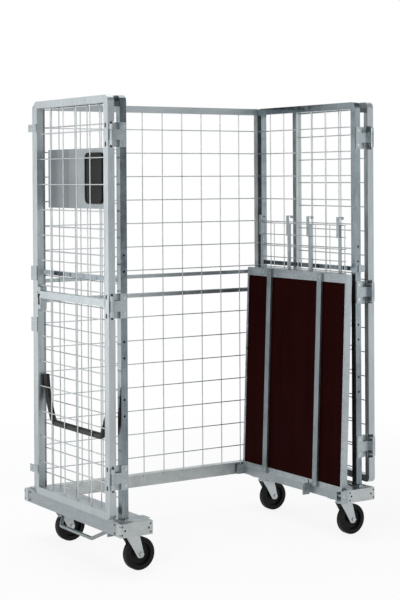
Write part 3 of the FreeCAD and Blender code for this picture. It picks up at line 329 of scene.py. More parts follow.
@dataclass(frozen=True)
class PowderCoat(Finish):
    """Thick powder coat with orange peel and slightly rubbed high spots."""

    colour: Triple = (0.0055, 0.0055, 0.006)
    rubbed: Triple = (0.016, 0.016, 0.0165)
    roughness: float = 0.38
    rough_share: float = 0.3
    coat: float = 0.05
    shine: float = 0.3
    peel_scale: float = 520.0
    peel_relief: float = 0.25
    peel_depth: float = 0.0005
    wear_scale: float = 14.0
    wear: Pair = (0.52, 0.70)

    def paint(self, tree: Tree, place: Wire) -> None:
        """Fill the tree with the finish's nodes.

        Args:
            tree: the material's tree.
            place: Object coordinates.
        """
        peel = tree.noise(place, self.peel_scale, detail=2.0)
        worn = tree.noise(place, self.wear_scale, detail=5.0, rough=0.7)
        tree.surface({"Base Color": tree.blend(worn.ramp(*self.wear), self.colour, self.rubbed),
                      "Roughness": worn.centred() * self.rough_share + self.roughness,
                      "Coat Weight": self.coat, "Specular IOR Level": self.shine,
                      "Normal": tree.bump(peel, self.peel_relief, self.peel_depth)})


@dataclass(frozen=True)
class Moulded(Finish):
    """Moulded plastic or rubber with a fine grain, faint flow marks and pale dust."""

    colour: Triple
    roughness: float
    rough_shares: Pair = (0.25, 0.15)           # of the flow marks and the grain
    dusty: Triple = (0.05, 0.049, 0.047)
    shine: float = 0.25
    grain: float = 700.0
    relief: float = 0.3
    relief_depth: float = 0.0006
    flow_scale: float = 24.0
    flow: Pair = (0.45, 0.72)
    dust: float = 0.3

    def paint(self, tree: Tree, place: Wire) -> None:
        """Fill the tree with the finish's nodes.

        Args:
            tree: the material's tree.
            place: Object coordinates.
        """
        pits = tree.noise(place, self.grain, detail=3.0)
        flow = tree.noise(place, self.flow_scale, detail=4.0, rough=0.6)
        by_flow, by_grain = self.rough_shares
        tree.surface({"Base Color": tree.blend(flow.ramp(*self.flow) * self.dust, self.colour,
                                               self.dusty),
                      "Roughness": (flow.centred() * by_flow + pits.centred() * by_grain
                                    + self.roughness),
                      "Specular IOR Level": self.shine,
                      "Normal": tree.bump(pits, self.relief, self.relief_depth)})


@dataclass(frozen=True)
class FilmPlywood(Finish):
    """Dark brown film-faced plywood: pressed weave, faint veneer figure, scuffs, pale scratches."""

    film: Triple = (0.0115, 0.0010, 0.0009)
    lighter: Triple = (0.0220, 0.0032, 0.0028)
    scuff: Triple = (0.075, 0.045, 0.038)
    mesh: float = 0.0024
    figure_stretch: Triple = (1.0, 1.0, 0.09)
    figure_scale: float = 22.0
    figure_middle: float = 0.35
    figure_relief: float = 0.4
    weave_relief: float = 0.5
    cloud_scale: float = 5.0
    scratch_stretch: Triple = (1.0, 0.15, 1.0)
    scratch_scale: float = 190.0
    scratch_range: Pair = (0.67, 0.72)
    scratch_clouds: Pair = (0.45, 0.6)
    scratch_share: float = 0.25
    tone_shares: Pair = (1.3, 0.6)              # of the figure and the clouds
    rough_shares: Pair = (0.20, 0.2)            # of the clouds and the scratches
    roughness: float = 0.42
    shine: float = 0.01
    relief: float = 0.16
    relief_depth: float = 0.0004

    def _ridge(self, along: Wire) -> Wire:
        """Height of one set of the weave's ridges: distance from the middle of each mesh."""
        return (along / self.mesh).fraction().centred().absolute()

    def paint(self, tree: Tree, place: Wire) -> None:
        """Fill the tree with the finish's nodes.

        Args:
            tree: the material's tree.
            place: Object coordinates.
        """
        _, y, z = tree.axes(place)
        figure = tree.noise(tree.stretched(place, self.figure_stretch), self.figure_scale,
                            detail=5.0, rough=0.6)
        cloud = tree.noise(place, self.cloud_scale, detail=3.0)
        scratch = tree.noise(tree.stretched(place, self.scratch_stretch), self.scratch_scale,
                             detail=2.0, rough=0.8)
        weave = self._ridge(y) + self._ridge(z)
        by_figure, by_cloud = self.tone_shares
        tone = (figure - self.figure_middle) * by_figure + cloud.centred() * by_cloud
        marks = scratch.ramp(*self.scratch_range) * cloud.ramp(*self.scratch_clouds)
        colour = tree.blend(tone, self.film, self.lighter)
        colour = tree.blend(marks * self.scratch_share, colour, self.scuff)
        by_cloud, by_marks = self.rough_shares
        rough = cloud.centred() * by_cloud + marks * by_marks + self.roughness
        relief = weave * self.weave_relief + figure * self.figure_relief
        tree.surface({"Base Color": colour, "Roughness": rough, "Specular IOR Level": self.shine,
                      "Normal": tree.bump(relief, self.relief, self.relief_depth)})


@dataclass(frozen=True)
class SignSheet(Finish):
    """Grey coated sheet with soft upright bands of painted shade in its colour."""

    colour: Triple = (0.33, 0.36, 0.375)
    shaded: Triple = (0.15, 0.165, 0.175)
    near: Triple = (-0.022, -0.006, 0.55)       # where the painted shade rises along Y, and by how much
    middle: Triple = (0.043, 0.049, 0.30)
    far: Triple = (0.101, 0.107, 0.35)          # where it falls again
    cloud_scale: float = 6.0
    cloud_tone: float = 0.3
    cloud_rough: float = 0.2
    grain_scale: float = 640.0
    metallic: float = 0.35
    roughness: float = 0.42
    relief: float = 0.12
    relief_depth: float = 0.0004

    def paint(self, tree: Tree, place: Wire) -> None:
        """Fill the tree with the finish's nodes.

        Args:
            tree: the material's tree.
            place: Object coordinates.
        """
        cloud = tree.noise(place, self.cloud_scale, detail=3.0)
        grain = tree.noise(place, self.grain_scale, detail=2.0)
        _, y, _ = tree.axes(place)
        near, middle, far = (y.ramp(start, end) * depth
                             for start, end, depth in (self.near, self.middle, self.far))
        # painted shade: bands along Y darken the colour towards the shaded grey
        shade = (near + middle - far + cloud.centred() * self.cloud_tone).clamp()
        tree.surface({"Base Color": tree.blend(shade, self.colour, self.shaded),
                      "Metallic": self.metallic,
                      "Roughness": cloud.centred() * self.cloud_rough + self.roughness,
                      "Normal": tree.bump(grain, self.relief, self.relief_depth)})


@dataclass(frozen=True)
class FloorPaper(Finish):
    """Pale paper that looks white, most of all far from the cage, and takes the cage's shadow."""

    paper: Triple = (0.86, 0.86, 0.86)
    fibres: Triple = (0.90, 0.90, 0.90)
    fibre_scale: float = 90.0
    roughness: float = 0.9
    fade: Pair = (1.2, 3.6)
    near_white: float = 0.86

    def paint(self, tree: Tree, place: Wire) -> None:
        """Fill the tree with the finish's nodes.

        Args:
            tree: the material's tree.
            place: Object coordinates.
        """
        fibre = tree.noise(place, self.fibre_scale, detail=3.0)
        paper = tree.add("ShaderNodeBsdfPrincipled", {}, {
            "Base Color": tree.blend(fibre, self.paper, self.fibres),
            "Roughness": self.roughness})
        white = tree.add("ShaderNodeEmission", {}, {"Color": WHITE, "Strength": 1.0})
        distance = tree.add("ShaderNodeVectorMath", {"operation": "LENGTH"}, {0: place}, "Value")
        whiteness = distance.ramp(*self.fade) * (1 - self.near_white) + self.near_white
        seen = tree.rays("Is Camera Ray", "Is Glossy Ray", "Is Transmission Ray")
        tree.close(tree.mixed(seen * whiteness, paper, white))


@dataclass(frozen=True)
class CardFelt(Finish):
    """Black felt."""

    felt: Triple = (0.010, 0.010, 0.011)
    lint: Triple = (0.016, 0.016, 0.017)
    lint_scale: float = 60.0
    roughness: float = 0.9

    def paint(self, tree: Tree, place: Wire) -> None:
        """Fill the tree with the finish's nodes."""
        colour = tree.blend(tree.noise(place, self.lint_scale, detail=3.0), self.felt, self.lint)
        tree.surface({"Base Color": colour, "Roughness": self.roughness})


def made(finish: Finish) -> Any:
    """A dataclass field that holds a finish's new material."""
    return field(default_factory=finish.make)


@dataclass
class Finishes:
    """Every finish of the cage, made once."""

    tube: Material = made(Zinc(
        "zinc_tube", light=(0.52, 0.565, 0.58), dark=(0.32, 0.355, 0.37), contrast=0.2,
        relief=0.05))
    # painted shade: a darker copy of the tube zinc for the side frames, in place of the shade on
    # their faces
    shaded_tube: Material = made(Zinc(
        "zinc_tube_painted_shade", light=(0.27, 0.315, 0.335), dark=(0.10, 0.12, 0.135), roughness=0.15,
        contrast=0.35, relief=0.05))
    wire: Material = made(Zinc(
        "zinc_wire", light=(0.66, 0.69, 0.70), dark=(0.48, 0.52, 0.53), roughness=0.34))
    sheet: Material = made(Zinc("zinc_sheet", grain=Grain.ALONG_Y, spangle=48.0, contrast=0.7))
    # painted shade: a darker copy of the sheet zinc for the base beams
    shaded_beam: Material = made(Zinc(
        "zinc_beam_painted_shade", light=(0.40, 0.44, 0.46), dark=(0.23, 0.26, 0.28), grain=Grain.ALONG_Y))
    # painted shade: a darker copy of the sheet zinc for the shelf bars and brake pedal
    shaded_sheet: Material = made(Zinc(
        "zinc_sheet_painted_shade", light=(0.34, 0.385, 0.40), dark=(0.17, 0.20, 0.215), contrast=0.4))
    # painted light: a lighter copy of the sheet zinc for the end caps, foot plates and rear beam
    lit_sheet: Material = made(Zinc(
        "zinc_sheet_painted_light", light=(0.58, 0.61, 0.615), dark=(0.38, 0.41, 0.415),
        grain=Grain.ALONG_Y))
    plated: Material = made(Zinc(
        "bright_zinc", light=(0.60, 0.63, 0.64), dark=(0.36, 0.39, 0.40), roughness=0.26,
        contrast=0.1, grain=Grain.NONE))
    weld: Material = made(Zinc(
        "zinc_weld", light=(0.36, 0.39, 0.40), dark=(0.16, 0.18, 0.19), roughness=0.5,
        grain=Grain.NONE))
    # painted shade: very dark zinc for the dots that stand for the shade in pressed pits
    mark: Material = made(Zinc(
        "painted_pit_shade", light=(0.10, 0.11, 0.115), dark=(0.03, 0.033, 0.035), roughness=0.55,
        grain=Grain.NONE))
    black: Material = made(PowderCoat("black_coat"))
    pocket: Material = made(Moulded(
        "pocket_plastic", colour=(0.006, 0.006, 0.0065), roughness=0.38, dust=0.05, shine=0.12))
    rubber: Material = made(Moulded(
        "grey_rubber", colour=(0.10, 0.11, 0.115), dusty=(0.20, 0.205, 0.21), roughness=0.75,
        relief=0.5))
    tyre: Material = made(Moulded(
        "tyre_rubber", colour=(0.008, 0.008, 0.008), roughness=0.6, grain=420.0, dust=0.25,
        shine=0.15))
    wheel: Material = made(Moulded(
        "wheel_plastic", colour=(0.006, 0.006, 0.006), roughness=0.42, dust=0.1, shine=0.15))
    board: Material = made(FilmPlywood("film_plywood"))
    sign: Material = made(SignSheet("sign_sheet"))

    def dress(self) -> None:
        """Give every CAD node the first finish whose words its name holds, and tube otherwise."""
        words = {
            "wire": ("_mesh",),
            "tyre": ("_tyre",),
            "wheel": ("_wheel",),
            "board": ("shelf_board",),
            "sign": ("sign_plate",),
            "pocket": ("document_pocket",),
            "black": ("push_handle",),
            "rubber": ("door_buffers",),
            # side frames take the darker copy of the tube zinc: painted shade
            "shaded_tube": ("side_frame",),
            # shelf bars and brake pedal take the darker copy of the sheet zinc: painted shade
            "shaded_sheet": ("shelf_bars", "brake_pedal"),
            # base beams take the darker copy of the sheet zinc: painted shade
            "shaded_beam": ("base_beam",),
            # end caps, foot plates and rear beam take the lighter copy of the sheet zinc: painted
            # light
            "lit_sheet": ("end_caps", "foot_plates", "rear_beam"),
            "plated": ("_axle", "_bolts", "rivets", "_pins", "kingpins", "latch_bolt", "shaft",
                       "_fork", "ball_races"),
            "sheet": ("_plates", "brackets", "ears", "_case", "_catch", "_tabs", "shelf_frame",
                      "_strips"),
        }
        for name, thing in frame["nodes"].items():
            kind = next((kind for kind, parts in words.items()
                         if any(part in name for part in parts)), "tube")
            thing.data.materials.clear()
            thing.data.materials.append(getattr(self, kind))
        log.info("dressed %d nodes", len(frame["nodes"]))


# ------------------------------------------------------------------ surfaces
def linked(name: str, points: Sequence[Sequence[float]], faces: Sequence[Sequence[int]],
           material: Material) -> bpy.types.Object:
    """Make one object with a mesh and a material, and link it to the scene.

    Args:
        name: the object's name.
        points: vertices in metres.
        faces: the corners of each face.
        material: its finish.

    Returns:
        The new object.
    """
    mesh = bpy.data.meshes.new(name)
    mesh.from_pydata(points, [], faces)
    mesh.materials.append(material)
    thing = bpy.data.objects.new(name, mesh)
    bpy.context.scene.collection.objects.link(thing)
    return thing


def put(name: str, points: np.ndarray, faces: Faces, material: Material, body: str,
        smooth: bool = True) -> bpy.types.Object:
    """Make one object from points and faces and let it ride on a body.

    Args:
        name: the piece's name.
        points: vertices, one row each, in metres.
        faces: the corners of each face.
        material: its finish.
        body: the body that it moves with.
        smooth: whether faces are shaded smoothly.

    Returns:
        The new object.
    """
    piece = linked(name, points.tolist(), faces, material)
    piece.data.polygons.foreach_set("use_smooth", np.full(len(faces), smooth))
    piece.data.update()
    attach(piece, body)
    log.info("%s: %d faces on %s", name, len(faces), body)
    return piece


def ring_quads(rings: int, sides: int) -> np.ndarray:
    """Quads between neighbouring rings of points.

    The corners of a quad at ring i and point j are (i, j), (i, j + 1), (i + 1, j + 1) and
    (i + 1, j), where j + 1 after the last point is the first.

    Args:
        rings: number of rings.
        sides: points of a ring.

    Returns:
        An array of quads.
    """
    i = np.arange(rings - 1)[:, None]
    j = np.arange(sides)[None, :]
    after = (j + 1) % sides
    corners = (i * sides + j, i * sides + after, (i + 1) * sides + after, (i + 1) * sides + j)
    return np.stack(corners, axis=-1).reshape(-1, 4)


def closed_tubes(count: int, rings: int, sides: int) -> Faces:
    """Faces of many equal tubes of rings, each closed at both ends by one face.

    Args:
        count: number of tubes.
        rings: rings of a tube.
        sides: points of a ring.

    Returns:
        The faces: quads first, then the last rings, then the first rings turned over.
    """
    starts = np.arange(count)[:, None] * (rings * sides)
    quads = (ring_quads(rings, sides)[None] + starts[:, :, None]).reshape(-1, 4)
    ring = np.arange(sides)
    lasts = starts + (rings - 1) * sides + ring
    return quads.tolist() + lasts.tolist() + (starts + ring[::-1]).tolist()


def turns(sides: int) -> np.ndarray:
    """Equal steps of one whole turn, in radians."""
    return np.arange(sides) * (2 * np.pi / sides)


def spokes(axes: np.ndarray, sides: int) -> np.ndarray:
    """Unit vectors all round each axis.

    A spoke at turn a is cos a times a first unit vector plus sin a times a second one. The first
    is the axis crossed with the frame's axis that it is least along, the second is the axis
    crossed with the first.

    Args:
        axes: unit vectors, one row each.
        sides: spokes of an axis.

    Returns:
        An array of axes by sides by three.
    """
    helper = np.eye(3)[np.argmin(np.abs(axes), axis=1)]
    first = np.cross(axes, helper)
    first /= np.linalg.norm(first, axis=1, keepdims=True)
    second = np.cross(axes, first)
    a = turns(sides)
    return (np.cos(a)[None, :, None] * first[:, None, :]
            + np.sin(a)[None, :, None] * second[:, None, :])


@dataclass(frozen=True)
class Dome:
    """A low round head, closed at its tip and at the foot of its skirt.

    A point at ring t and turn a is the centre, plus the radius times cos(t quarter turns) in
    direction a, plus the height times sin(t quarter turns) along the normal. The skirt is one
    more ring like the foot's, sunk by a share of the height.
    """

    radius: float
    height: float
    rings: int = 5
    sides: int = 16
    tip: float = 0.985
    skirt: float = 0.3

    def at(self, centres: np.ndarray, normals: np.ndarray) -> tuple[np.ndarray, Faces]:
        """Many heads in one mesh.

        Args:
            centres: the middles of their feet.
            normals: the directions in which they stand out.

        Returns:
            Points and faces.
        """
        t = np.concatenate(([0.0], np.linspace(0.0, self.tip, self.rings)))
        out = np.cos(t * np.pi / 2) * self.radius
        up = np.sin(t * np.pi / 2) * self.height
        up[0] = -self.height * self.skirt
        around = spokes(normals, self.sides)
        points = (centres[:, None, None, :] + out[None, :, None, None] * around[:, None, :, :]
                  + up[None, :, None, None] * normals[:, None, None, :])
        return points.reshape(-1, 3), closed_tubes(len(centres), len(t), self.sides)


@dataclass(frozen=True)
class Bead:
    """A weld bead: a round ridge along a line, with scales.

    A point at share s of the line and turn a lies out from the line by the radius, times one plus
    the ripple times (w - 1/2), where w is the fraction of the distance over the pitch, times
    sin(s half turns) to the power of the taper, which is no less than the tip's share.
    """

    radius: float = 0.0016
    ripple: float = 0.35
    pitch: float = 0.0035
    taper: float = 0.25
    tip: float = 0.02
    sides: int = 8
    rings_per_scale: int = 3
    fewest_rings: int = 6

    def along(self, starts: np.ndarray, ends: np.ndarray) -> tuple[np.ndarray, Faces]:
        """Many beads in one mesh, with as many rings as the longest line needs.

        Args:
            starts: first ends of the lines.
            ends: last ends of the lines.

        Returns:
            Points and faces.
        """
        span = np.linalg.norm(ends - starts, axis=1)
        rings = max(self.fewest_rings, int(span.max() / self.pitch * self.rings_per_scale))
        s = np.linspace(0.0, 1.0, rings)
        saw = (s[None, :] * span[:, None] / self.pitch) % 1.0
        swell = np.clip(np.sin(np.pi * s), 0.0, 1.0) ** self.taper
        reach = (self.radius * (1 + self.ripple * (saw - 0.5))
                 * np.maximum(swell, self.tip)[None, :])
        around = spokes((ends - starts) / span[:, None], self.sides)
        middle = starts[:, None, :] + s[None, :, None] * (ends - starts)[:, None, :]
        points = middle[:, :, None, :] + reach[:, :, None, None] * around[:, None, :, :]
        return points.reshape(-1, 3), closed_tubes(len(starts), rings, self.sides)


def turned_ring(centre: Triple, profile: np.ndarray, sides: int) -> tuple[np.ndarray, np.ndarray]:
    """A closed profile turned about the Y axis through a centre.

    A point is the centre plus radius times (cos a, 0, sin a) plus along times (0, 1, 0).

    Args:
        centre: the middle of the turning.
        profile: rows of radius and along, from the last of which the surface closes to the first.
        sides: points round.

    Returns:
        Points and quads.
    """
    a = turns(sides)
    ring = np.stack((np.cos(a), np.zeros(sides), np.sin(a)), axis=-1)
    points = (np.array(centre)[None, None] + profile[:, 0, None, None] * ring[None]
              + profile[:, 1, None, None] * np.array((0.0, 1.0, 0.0))[None, None])
    return points.reshape(-1, 3), ring_quads(len(profile) + 1, sides) % (len(profile) * sides)


def rows_of(values: Iterable[Sequence[float]]) -> np.ndarray:
    """An array of points from short lists."""
    return np.array([tuple(value) for value in values], dtype=float)


def joint_place(name: str) -> Triple:
    """The place of one of the frame's joints."""
    joints = frame["record"]["behaviour"]["joints"]
    return next(tuple(joint["pos_m"]) for joint in joints if joint["name"] == name)


@dataclass(frozen=True)
class RightDoor:
    """Where the right door's fittings go: like the left one's, mirrored, then swung ajar."""

    middle: float = -0.029986
    ajar: float = 5.91

    def mirrored(self, points: np.ndarray) -> np.ndarray:
        """Points mirrored about the cage's middle: x' = 2 middle - x."""
        return np.array((2 * self.middle, 0.0, 0.0)) + points * np.array((-1.0, 1.0, 1.0))

    def swung(self, points: np.ndarray) -> np.ndarray:
        """Points turned about the door's hinge, from it x' = x cos - y sin, y' = x sin + y cos.

        Args:
            points: points of the closed door.

        Returns:
            The same points of the door as it stands ajar.
        """
        pivot = joint_place("door_right_hinge")
        angle = math.radians(-self.ajar)
        c, s = math.cos(angle), math.sin(angle)
        axis = np.array((pivot[0], pivot[1], 0.0))
        return (points - axis) @ np.array(((c, s, 0.0), (-s, c, 0.0), (0.0, 0.0, 1.0))) + axis


RIGHT_DOOR = RightDoor()


# ------------------------------------------------------------------ sub-assemblies
@dataclass
class EndPitShade:
    """Small dark dots beside the corners of each beam's end caps: painted shade of pressed pits."""

    finishes: Finishes
    mark: Dome = Dome(0.0038, 0.00005)
    level_inset: float = 0.010
    edge: float = 0.006
    far_on_side: float = 0.049
    far_on_front: float = 0.128

    def _columns(self, first: float, last: float, far: float) -> tuple[float, ...]:
        """Where the columns of marks stand: at each of two edges, and a far way in from each."""
        return first + self.edge, first + far, last - far, last - self.edge

    def make(self) -> None:
        """Make the dots of painted shade on the four outer faces."""
        low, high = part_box("beam_end_caps")
        levels = (low[2] + self.level_inset, high[2] - self.level_inset)
        centres = []
        normals = []
        for sign, face in ((-1.0, low[0]), (1.0, high[0])):
            for y in self._columns(low[1], high[1], self.far_on_side):
                centres += [(face, y, z) for z in levels]
                normals += [(sign, 0.0, 0.0)] * len(levels)
        for sign, face in ((-1.0, low[1]), (1.0, high[1])):
            for x in self._columns(low[0], high[0], self.far_on_front):
                centres += [(x, face, z) for z in levels]
                normals += [(0.0, sign, 0.0)] * len(levels)
        # near-flat dark domes: painted shade of the pits
        points, faces = self.mark.at(rows_of(centres), rows_of(normals))
        put("beam_end_pit_shade", points, faces, self.finishes.mark, "cage")


@dataclass
class ShelfRivets:
    """Heads along the rim and at both ends of the bars, on the underside of the folded shelf.

    A head's place is its Y, its way up the leaning shelf from the hinge, and its depth from the
    hinge's plane across the shelf.
    """

    finishes: Finishes
    head: Dome = Dome(0.0042, 0.0007)
    lean: float = 2.1
    start: float = 0.004
    length: float = 0.895
    depth: float = 0.018
    bar_rise: float = 0.009
    bars: Pair = (-0.1885, 0.1725)
    rim_reach: float = 0.0032
    rim_inset: float = 0.006
    rim_pitch: float = 0.118
    foot_inset: float = 0.013
    top_inset: float = 0.018
    first_gap: float = 0.03
    last_gap: float = 0.01

    def _spots(self) -> list[Triple]:
        """Work out where the heads go.

        Returns:
            The Y, way up and depth of each head.
        """
        low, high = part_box("shelf_board")
        front, back = low[1] - self.rim_reach, high[1] + self.rim_reach
        foot, top = self.start + self.foot_inset, self.start + self.length - self.top_inset
        spots = []
        count = int(self.length / self.rim_pitch)
        run = top - foot - (self.first_gap + self.last_gap)
        for k in range(count + 1):
            up = foot + self.first_gap + k * run / count
            spots += [(y, up, self.depth) for y in (front + self.rim_inset, back - self.rim_inset)]
        for bar in self.bars:
            spots += [(bar, up, self.depth - self.bar_rise) for up in (foot, top)]
        across = int((back - front) / self.rim_pitch)
        for k in range(1, across):
            y = front + k * (back - front) / across
            spots += [(y, up, self.depth) for up in (foot, top)]
        return spots

    def make(self) -> None:
        """Make the heads."""
        pivot = joint_place("base_shelf_fold")
        lean = math.radians(self.lean)
        centre = np.array((pivot[0], 0.0, pivot[2]))
        upward = np.array((math.sin(lean), 0.0, math.cos(lean)))
        inward = np.array((math.cos(lean), 0.0, -math.sin(lean)))
        spots = self._spots()
        centres = rows_of([centre + inward * depth + upward * up + np.array((0.0, y, 0.0))
                           for y, up, depth in spots])
        points, faces = self.head.at(centres, np.tile(-inward, (len(spots), 1)))
        put("shelf_rivets", points, faces, self.finishes.plated, "base_shelf")


@dataclass
class Welds:
    """Short weld beads where tubes and plates meet."""

    finishes: Finishes
    bead: Bead = Bead()
    post: float = 0.028
    panel_rail: Pair = (1.101, 0.009)           # middle height of the rail, half of its depth
    door_rail: Pair = (1.017, 0.014)

    def feet(self) -> None:
        """A bead round the foot of each post on its plate."""
        starts = []
        ends = []
        for node in ("side_frame_left", "side_frame_right"):
            low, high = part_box(node)
            for y0, y1 in ((low[1], low[1] + self.post), (high[1] - self.post, high[1])):
                for x in (low[0], high[0]):
                    starts.append((x, y0, low[2]))
                    ends.append((x, y1, low[2]))
                for y in (y0, y1):
                    starts.append((low[0], y, low[2]))
                    ends.append((high[0], y, low[2]))
        points, faces = self.bead.along(rows_of(starts), rows_of(ends))
        put("foot_welds", points, faces, self.finishes.weld, "cage")

    def _lines(self, columns: Sequence[float], low_y: float, high_y: float,
               rail: Pair) -> tuple[np.ndarray, np.ndarray]:
        """Upright lines where a rail meets the posts at its two ends.

        Args:
            columns: the X of the faces that are welded.
            low_y: the frame's lowest Y.
            high_y: its highest Y.
            rail: the rail's middle height and half of its depth.

        Returns:
            The lines' lower and upper ends.
        """
        level, half = rail
        posts = (low_y + self.post, high_y - self.post)
        return tuple(rows_of([(x, y, level + way * half) for y in posts for x in columns])
                     for way in (-1, 1))

    def rails(self) -> None:
        """Beads where the middle rails meet the posts of panels and doors."""
        for side in ("left", "right"):
            low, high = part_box(f"side_frame_{side}")
            outer = low[0] if side == "left" else high[0]
            points, faces = self.bead.along(*self._lines((outer,), low[1], high[1],
                                                         self.panel_rail))
            put(f"side_{side}_rail_welds", points, faces, self.finishes.weld, "cage")
        low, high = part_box("door_left_frame")
        lines = self._lines((low[0], high[0]), low[1], high[1], self.door_rail)
        points, faces = self.bead.along(*lines)
        put("door_left_rail_welds", points, faces, self.finishes.weld, "door_left")
        points, faces = self.bead.along(*(RIGHT_DOOR.mirrored(ends) for ends in lines))
        put("door_right_rail_welds", RIGHT_DOOR.swung(points), faces, self.finishes.weld,
            "door_right")


@dataclass
class DoorSlotShade:
    """Dark discs of painted shade a little below the face in the upright slots of the doors' hinged
    posts.
    """

    finishes: Finishes
    shade_disc: Dome = Dome(0.0057, 0.0006)
    levels: Triple = (0.3695, 1.0070, 1.6420)
    spacing: float = 0.070
    inset: float = 0.018
    reach: float = 0.0034
    sunk: float = 0.0010

    def make(self) -> None:
        """Fill each slot of both doors with three overlapping discs of painted shade."""
        low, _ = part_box("door_left_frame")
        face = low[0] + self.sunk
        centres = rows_of([(face, low[1] + self.inset,
                            level + end * self.spacing / 2 + step * self.reach)
                           for level in self.levels for end in (-1, 1) for step in (-1, 0, 1)])
        normals = np.tile((-1.0, 0.0, 0.0), (len(centres), 1))
        points, faces = self.shade_disc.at(centres, normals)
        # painted shade: the handle's black coat fills the slots where shade falls
        put("door_left_slot_shade", points, faces, self.finishes.black, "door_left")
        points, faces = self.shade_disc.at(RIGHT_DOOR.mirrored(centres), -normals)
        put("door_right_slot_shade", RIGHT_DOOR.swung(points), faces, self.finishes.black, "door_right")


@dataclass
class Pocket:
    """The flat case on the sign: rounded corners, a raised rim and a sunk face."""

    finishes: Finishes
    narrower: float = 0.010
    rim: float = 0.007
    sunk: float = 0.003
    edge: float = 0.0015
    step: float = 0.001
    dish: float = 0.0004
    dish_share: float = 0.5
    squareness: float = 9.0
    sides: int = 96

    def make(self) -> None:
        """Build the case as rings that follow one rounded outline, closed at both ends.

        A ring's point at turn a lies at the half width less the ring's inset, times |cos a| to the
        power 2/n, and at the half height less the inset, times |sin a| to the power 2/n, with
        their signs, and stands out by the ring's depth.
        """
        low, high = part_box("document_pocket")
        half_y = (high[1] - low[1] - self.narrower) / 2
        half_z = (high[2] - low[2]) / 2
        middle_y, middle_z = low[1] + half_y, (low[2] + high[2]) / 2
        depth = high[0] - low[0]
        rings = ((0.0, 0.0), (0.0, depth - self.edge), (self.edge, depth), (self.rim, depth),
                 (self.rim + self.step, depth - self.sunk),
                 (half_y * self.dish_share, depth - self.sunk - self.dish))
        a = turns(self.sides)
        across, upward = (np.sign(wave) * np.abs(wave) ** (2.0 / self.squareness)
                          for wave in (np.cos(a), np.sin(a)))
        points = np.vstack([np.stack((np.full(self.sides, high[0] - out),
                                      middle_y + across * (half_y - inset),
                                      middle_z + upward * (half_z - inset)), axis=-1)
                            for inset, out in rings])
        faces = [face[::-1] for face in closed_tubes(1, len(rings), self.sides)]
        piece = put("pocket_case", points, faces, self.finishes.pocket, "cage", smooth=False)
        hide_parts("document_pocket")


@dataclass
class WheelRings:
    """Raised rings on both faces of each wheel's web."""

    finishes: Finishes
    radii: tuple[float, ...] = (0.0455, 0.0475, 0.0495, 0.0505)     # foot, crest, crest, foot
    web_inset: float = 0.0008
    rise: float = 0.0006
    foot_share: float = 0.92
    sides: int = 48

    def make(self) -> None:
        """Turn one profile on each face: two slopes and the flat between them.

        Taken in order of growing radius it faces outwards on the far side of the wheel, so it is
        taken the other way on the near side.
        """
        for end in ("fl", "fr", "rl", "rr"):
            low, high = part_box(f"caster_{end}_tyre")
            middle = tuple((low[k] + high[k]) / 2 for k in range(3))
            half = (high[1] - low[1]) / 2 - self.web_inset
            foot, crest = half * self.foot_share, half + self.rise
            outs = np.array((foot, crest, crest, foot))
            near, near_faces = turned_ring(
                middle, np.column_stack((self.radii, -outs))[::-1], self.sides)
            far, far_faces = turned_ring(middle, np.column_stack((self.radii, outs)), self.sides)
            put(f"wheel_{end}_rings", np.vstack((near, far)),
                np.vstack((near_faces, far_faces + len(near))).tolist(), self.finishes.wheel,
                f"wheel_{end}")


# ------------------------------------------------------------------ studio
@dataclass(frozen=True)
class Lamp:
    """A large square soft lamp that the camera doesn't see."""

    name: str
    place: Triple
    size: float
    power: float

    def hang(self, target: Triple) -> None:
        """Place the lamp.

        Args:
            target: the point that it faces.
        """
        data = bpy.data.lights.new(self.name, "AREA")
        data.shape = "SQUARE"
        data.size = self.size
        data.energy = self.power
        lamp = bpy.data.objects.new(self.name, data)
        lamp.visible_camera = False
        turn = (Vector(target) - Vector(self.place)).to_track_quat("-Z", "Y").to_matrix().to_4x4()
        lamp.matrix_world = Matrix.Translation(self.place) @ turn
        bpy.context.scene.collection.objects.link(lamp)


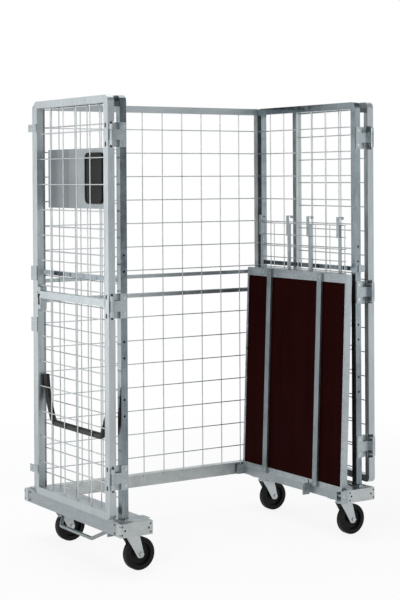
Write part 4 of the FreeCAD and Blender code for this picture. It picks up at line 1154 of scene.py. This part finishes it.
@dataclass
class Studio:
    """Camera, pale floor, white room, soft lamps and a dark card."""

    eye: Triple = (-3.351, -5.164, 1.474)
    yaw: float = 32.839
    pitch: float = -0.253
    roll: float = -0.311
    lens: float = 89.317
    sensor: float = 36.0
    shift: float = -0.19
    clip_end: float = 100.0
    floor_half: float = 14.0
    card_ends: tuple[Pair, Pair] = ((-1.35, 2.3), (0.15, 2.3))
    card_heights: Pair = (0.05, 3.2)
    backdrop: Triple = (0.54, 0.84, 0.0)
    wall_spread: Pair = (0.40, 0.85)
    front_spread: Pair = (0.10, -0.55)
    front_share: float = 0.45
    room_dim: float = 0.14
    room_tint: tuple[float, ...] = (0.96, 0.99, 1.0, 1.0)
    light_tint: tuple[float, ...] = (0.95, 0.98, 1.0, 1.0)
    light_strength: float = 0.42
    target: Triple = (-0.03, 0.0, 0.9)
    lamps: tuple[Lamp, ...] = (Lamp("lamp_left", (-5.0, -3.2, 3.2), 3.2, 150.0),
                               Lamp("lamp_front", (4.4, -5.2, 1.5), 2.6, 22.0),
                               Lamp("lamp_side", (-3.65, 2.95, 1.6), 3.8, 60.0),
                               Lamp("lamp_top", (0.0, 0.5, 5.0), 4.0, 110.0))

    def camera(self) -> None:
        """Place the camera.

        Forward is (sin yaw cos pitch, cos yaw cos pitch, sin pitch), and right and up are turned
        about it by roll.
        """
        yaw, pitch, roll = (math.radians(angle) for angle in (self.yaw, self.pitch, self.roll))
        ahead = Vector((math.sin(yaw) * math.cos(pitch), math.cos(yaw) * math.cos(pitch),
                        math.sin(pitch)))
        level = Vector((math.cos(yaw), -math.sin(yaw), 0.0))
        rise = level.cross(ahead)
        right = math.cos(roll) * level + math.sin(roll) * rise
        up = -math.sin(roll) * level + math.cos(roll) * rise
        data = bpy.data.cameras.new("camera")
        data.sensor_width = self.sensor
        data.lens = self.lens
        data.shift_y = self.shift
        data.clip_end = self.clip_end
        camera = bpy.data.objects.new("camera", data)
        turn = Matrix((right, up, -ahead)).transposed().to_4x4()
        camera.matrix_world = Matrix.Translation(self.eye) @ turn
        bpy.context.scene.collection.objects.link(camera)
        bpy.context.scene.camera = camera

    def card(self) -> None:
        """A dark upright card behind the cage that only shows in polished metal."""
        (x0, y0), (x1, y1) = self.card_ends
        foot, top = self.card_heights
        corners = ((x0, y0, foot), (x1, y1, foot), (x1, y1, top), (x0, y0, top))
        card = linked("dark_card", corners, [(0, 1, 2, 3)], CardFelt("card_black").make())
        card.visible_camera = False
        card.visible_diffuse = False
        card.visible_transmission = False
        card.visible_shadow = False

    def room(self) -> None:
        """A white background that metal sees brightest behind and in front, and a softer light."""
        world = bpy.data.worlds.new("room")
        bpy.context.scene.world = world
        tree = Tree(world)
        way = tree.add("ShaderNodeTexCoord", {}, {}, "Generated")
        towards = tree.add("ShaderNodeVectorMath", {"operation": "DOT_PRODUCT"},
                           {0: way, 1: self.backdrop}, "Value")
        wall = towards.ramp(*self.wall_spread)
        front = towards.ramp(*self.front_spread) * self.front_share
        shine = (wall + front).clamp() * (1 - self.room_dim) + self.room_dim
        white, mirrored, light = (
            tree.add("ShaderNodeBackground", {}, {"Color": colour, "Strength": strength})
            for colour, strength in ((WHITE, 1.0), (self.room_tint, shine),
                                     (self.light_tint, self.light_strength)))
        lit = tree.mixed(tree.rays("Is Glossy Ray"), light, mirrored)
        tree.close(tree.mixed(tree.rays("Is Camera Ray", "Is Transmission Ray"), lit, white))

    def floor(self) -> None:
        """A wide pale floor."""
        half = self.floor_half
        corners = ((-half, -half, 0), (half, -half, 0), (half, half, 0), (-half, half, 0))
        floor = linked("floor", corners, [(0, 1, 2, 3)], FloorPaper("floor_paper").make())

    def make(self) -> None:
        """Set up the whole studio."""
        self.camera()
        self.card()
        self.room()
        for lamp in self.lamps:
            lamp.hang(self.target)
        self.floor()
        bpy.context.scene.view_settings.view_transform = "Standard"


def main() -> None:
    """Build the studio and every sub-assembly in order."""
    Studio().make()
    finishes = Finishes()
    finishes.dress()
    EndPitShade(finishes).make()
    ShelfRivets(finishes).make()
    welds = Welds(finishes)
    welds.feet()
    welds.rails()
    DoorSlotShade(finishes).make()
    Pocket(finishes).make()
    WheelRings(finishes).make()


if __name__ == "__main__":
    main()
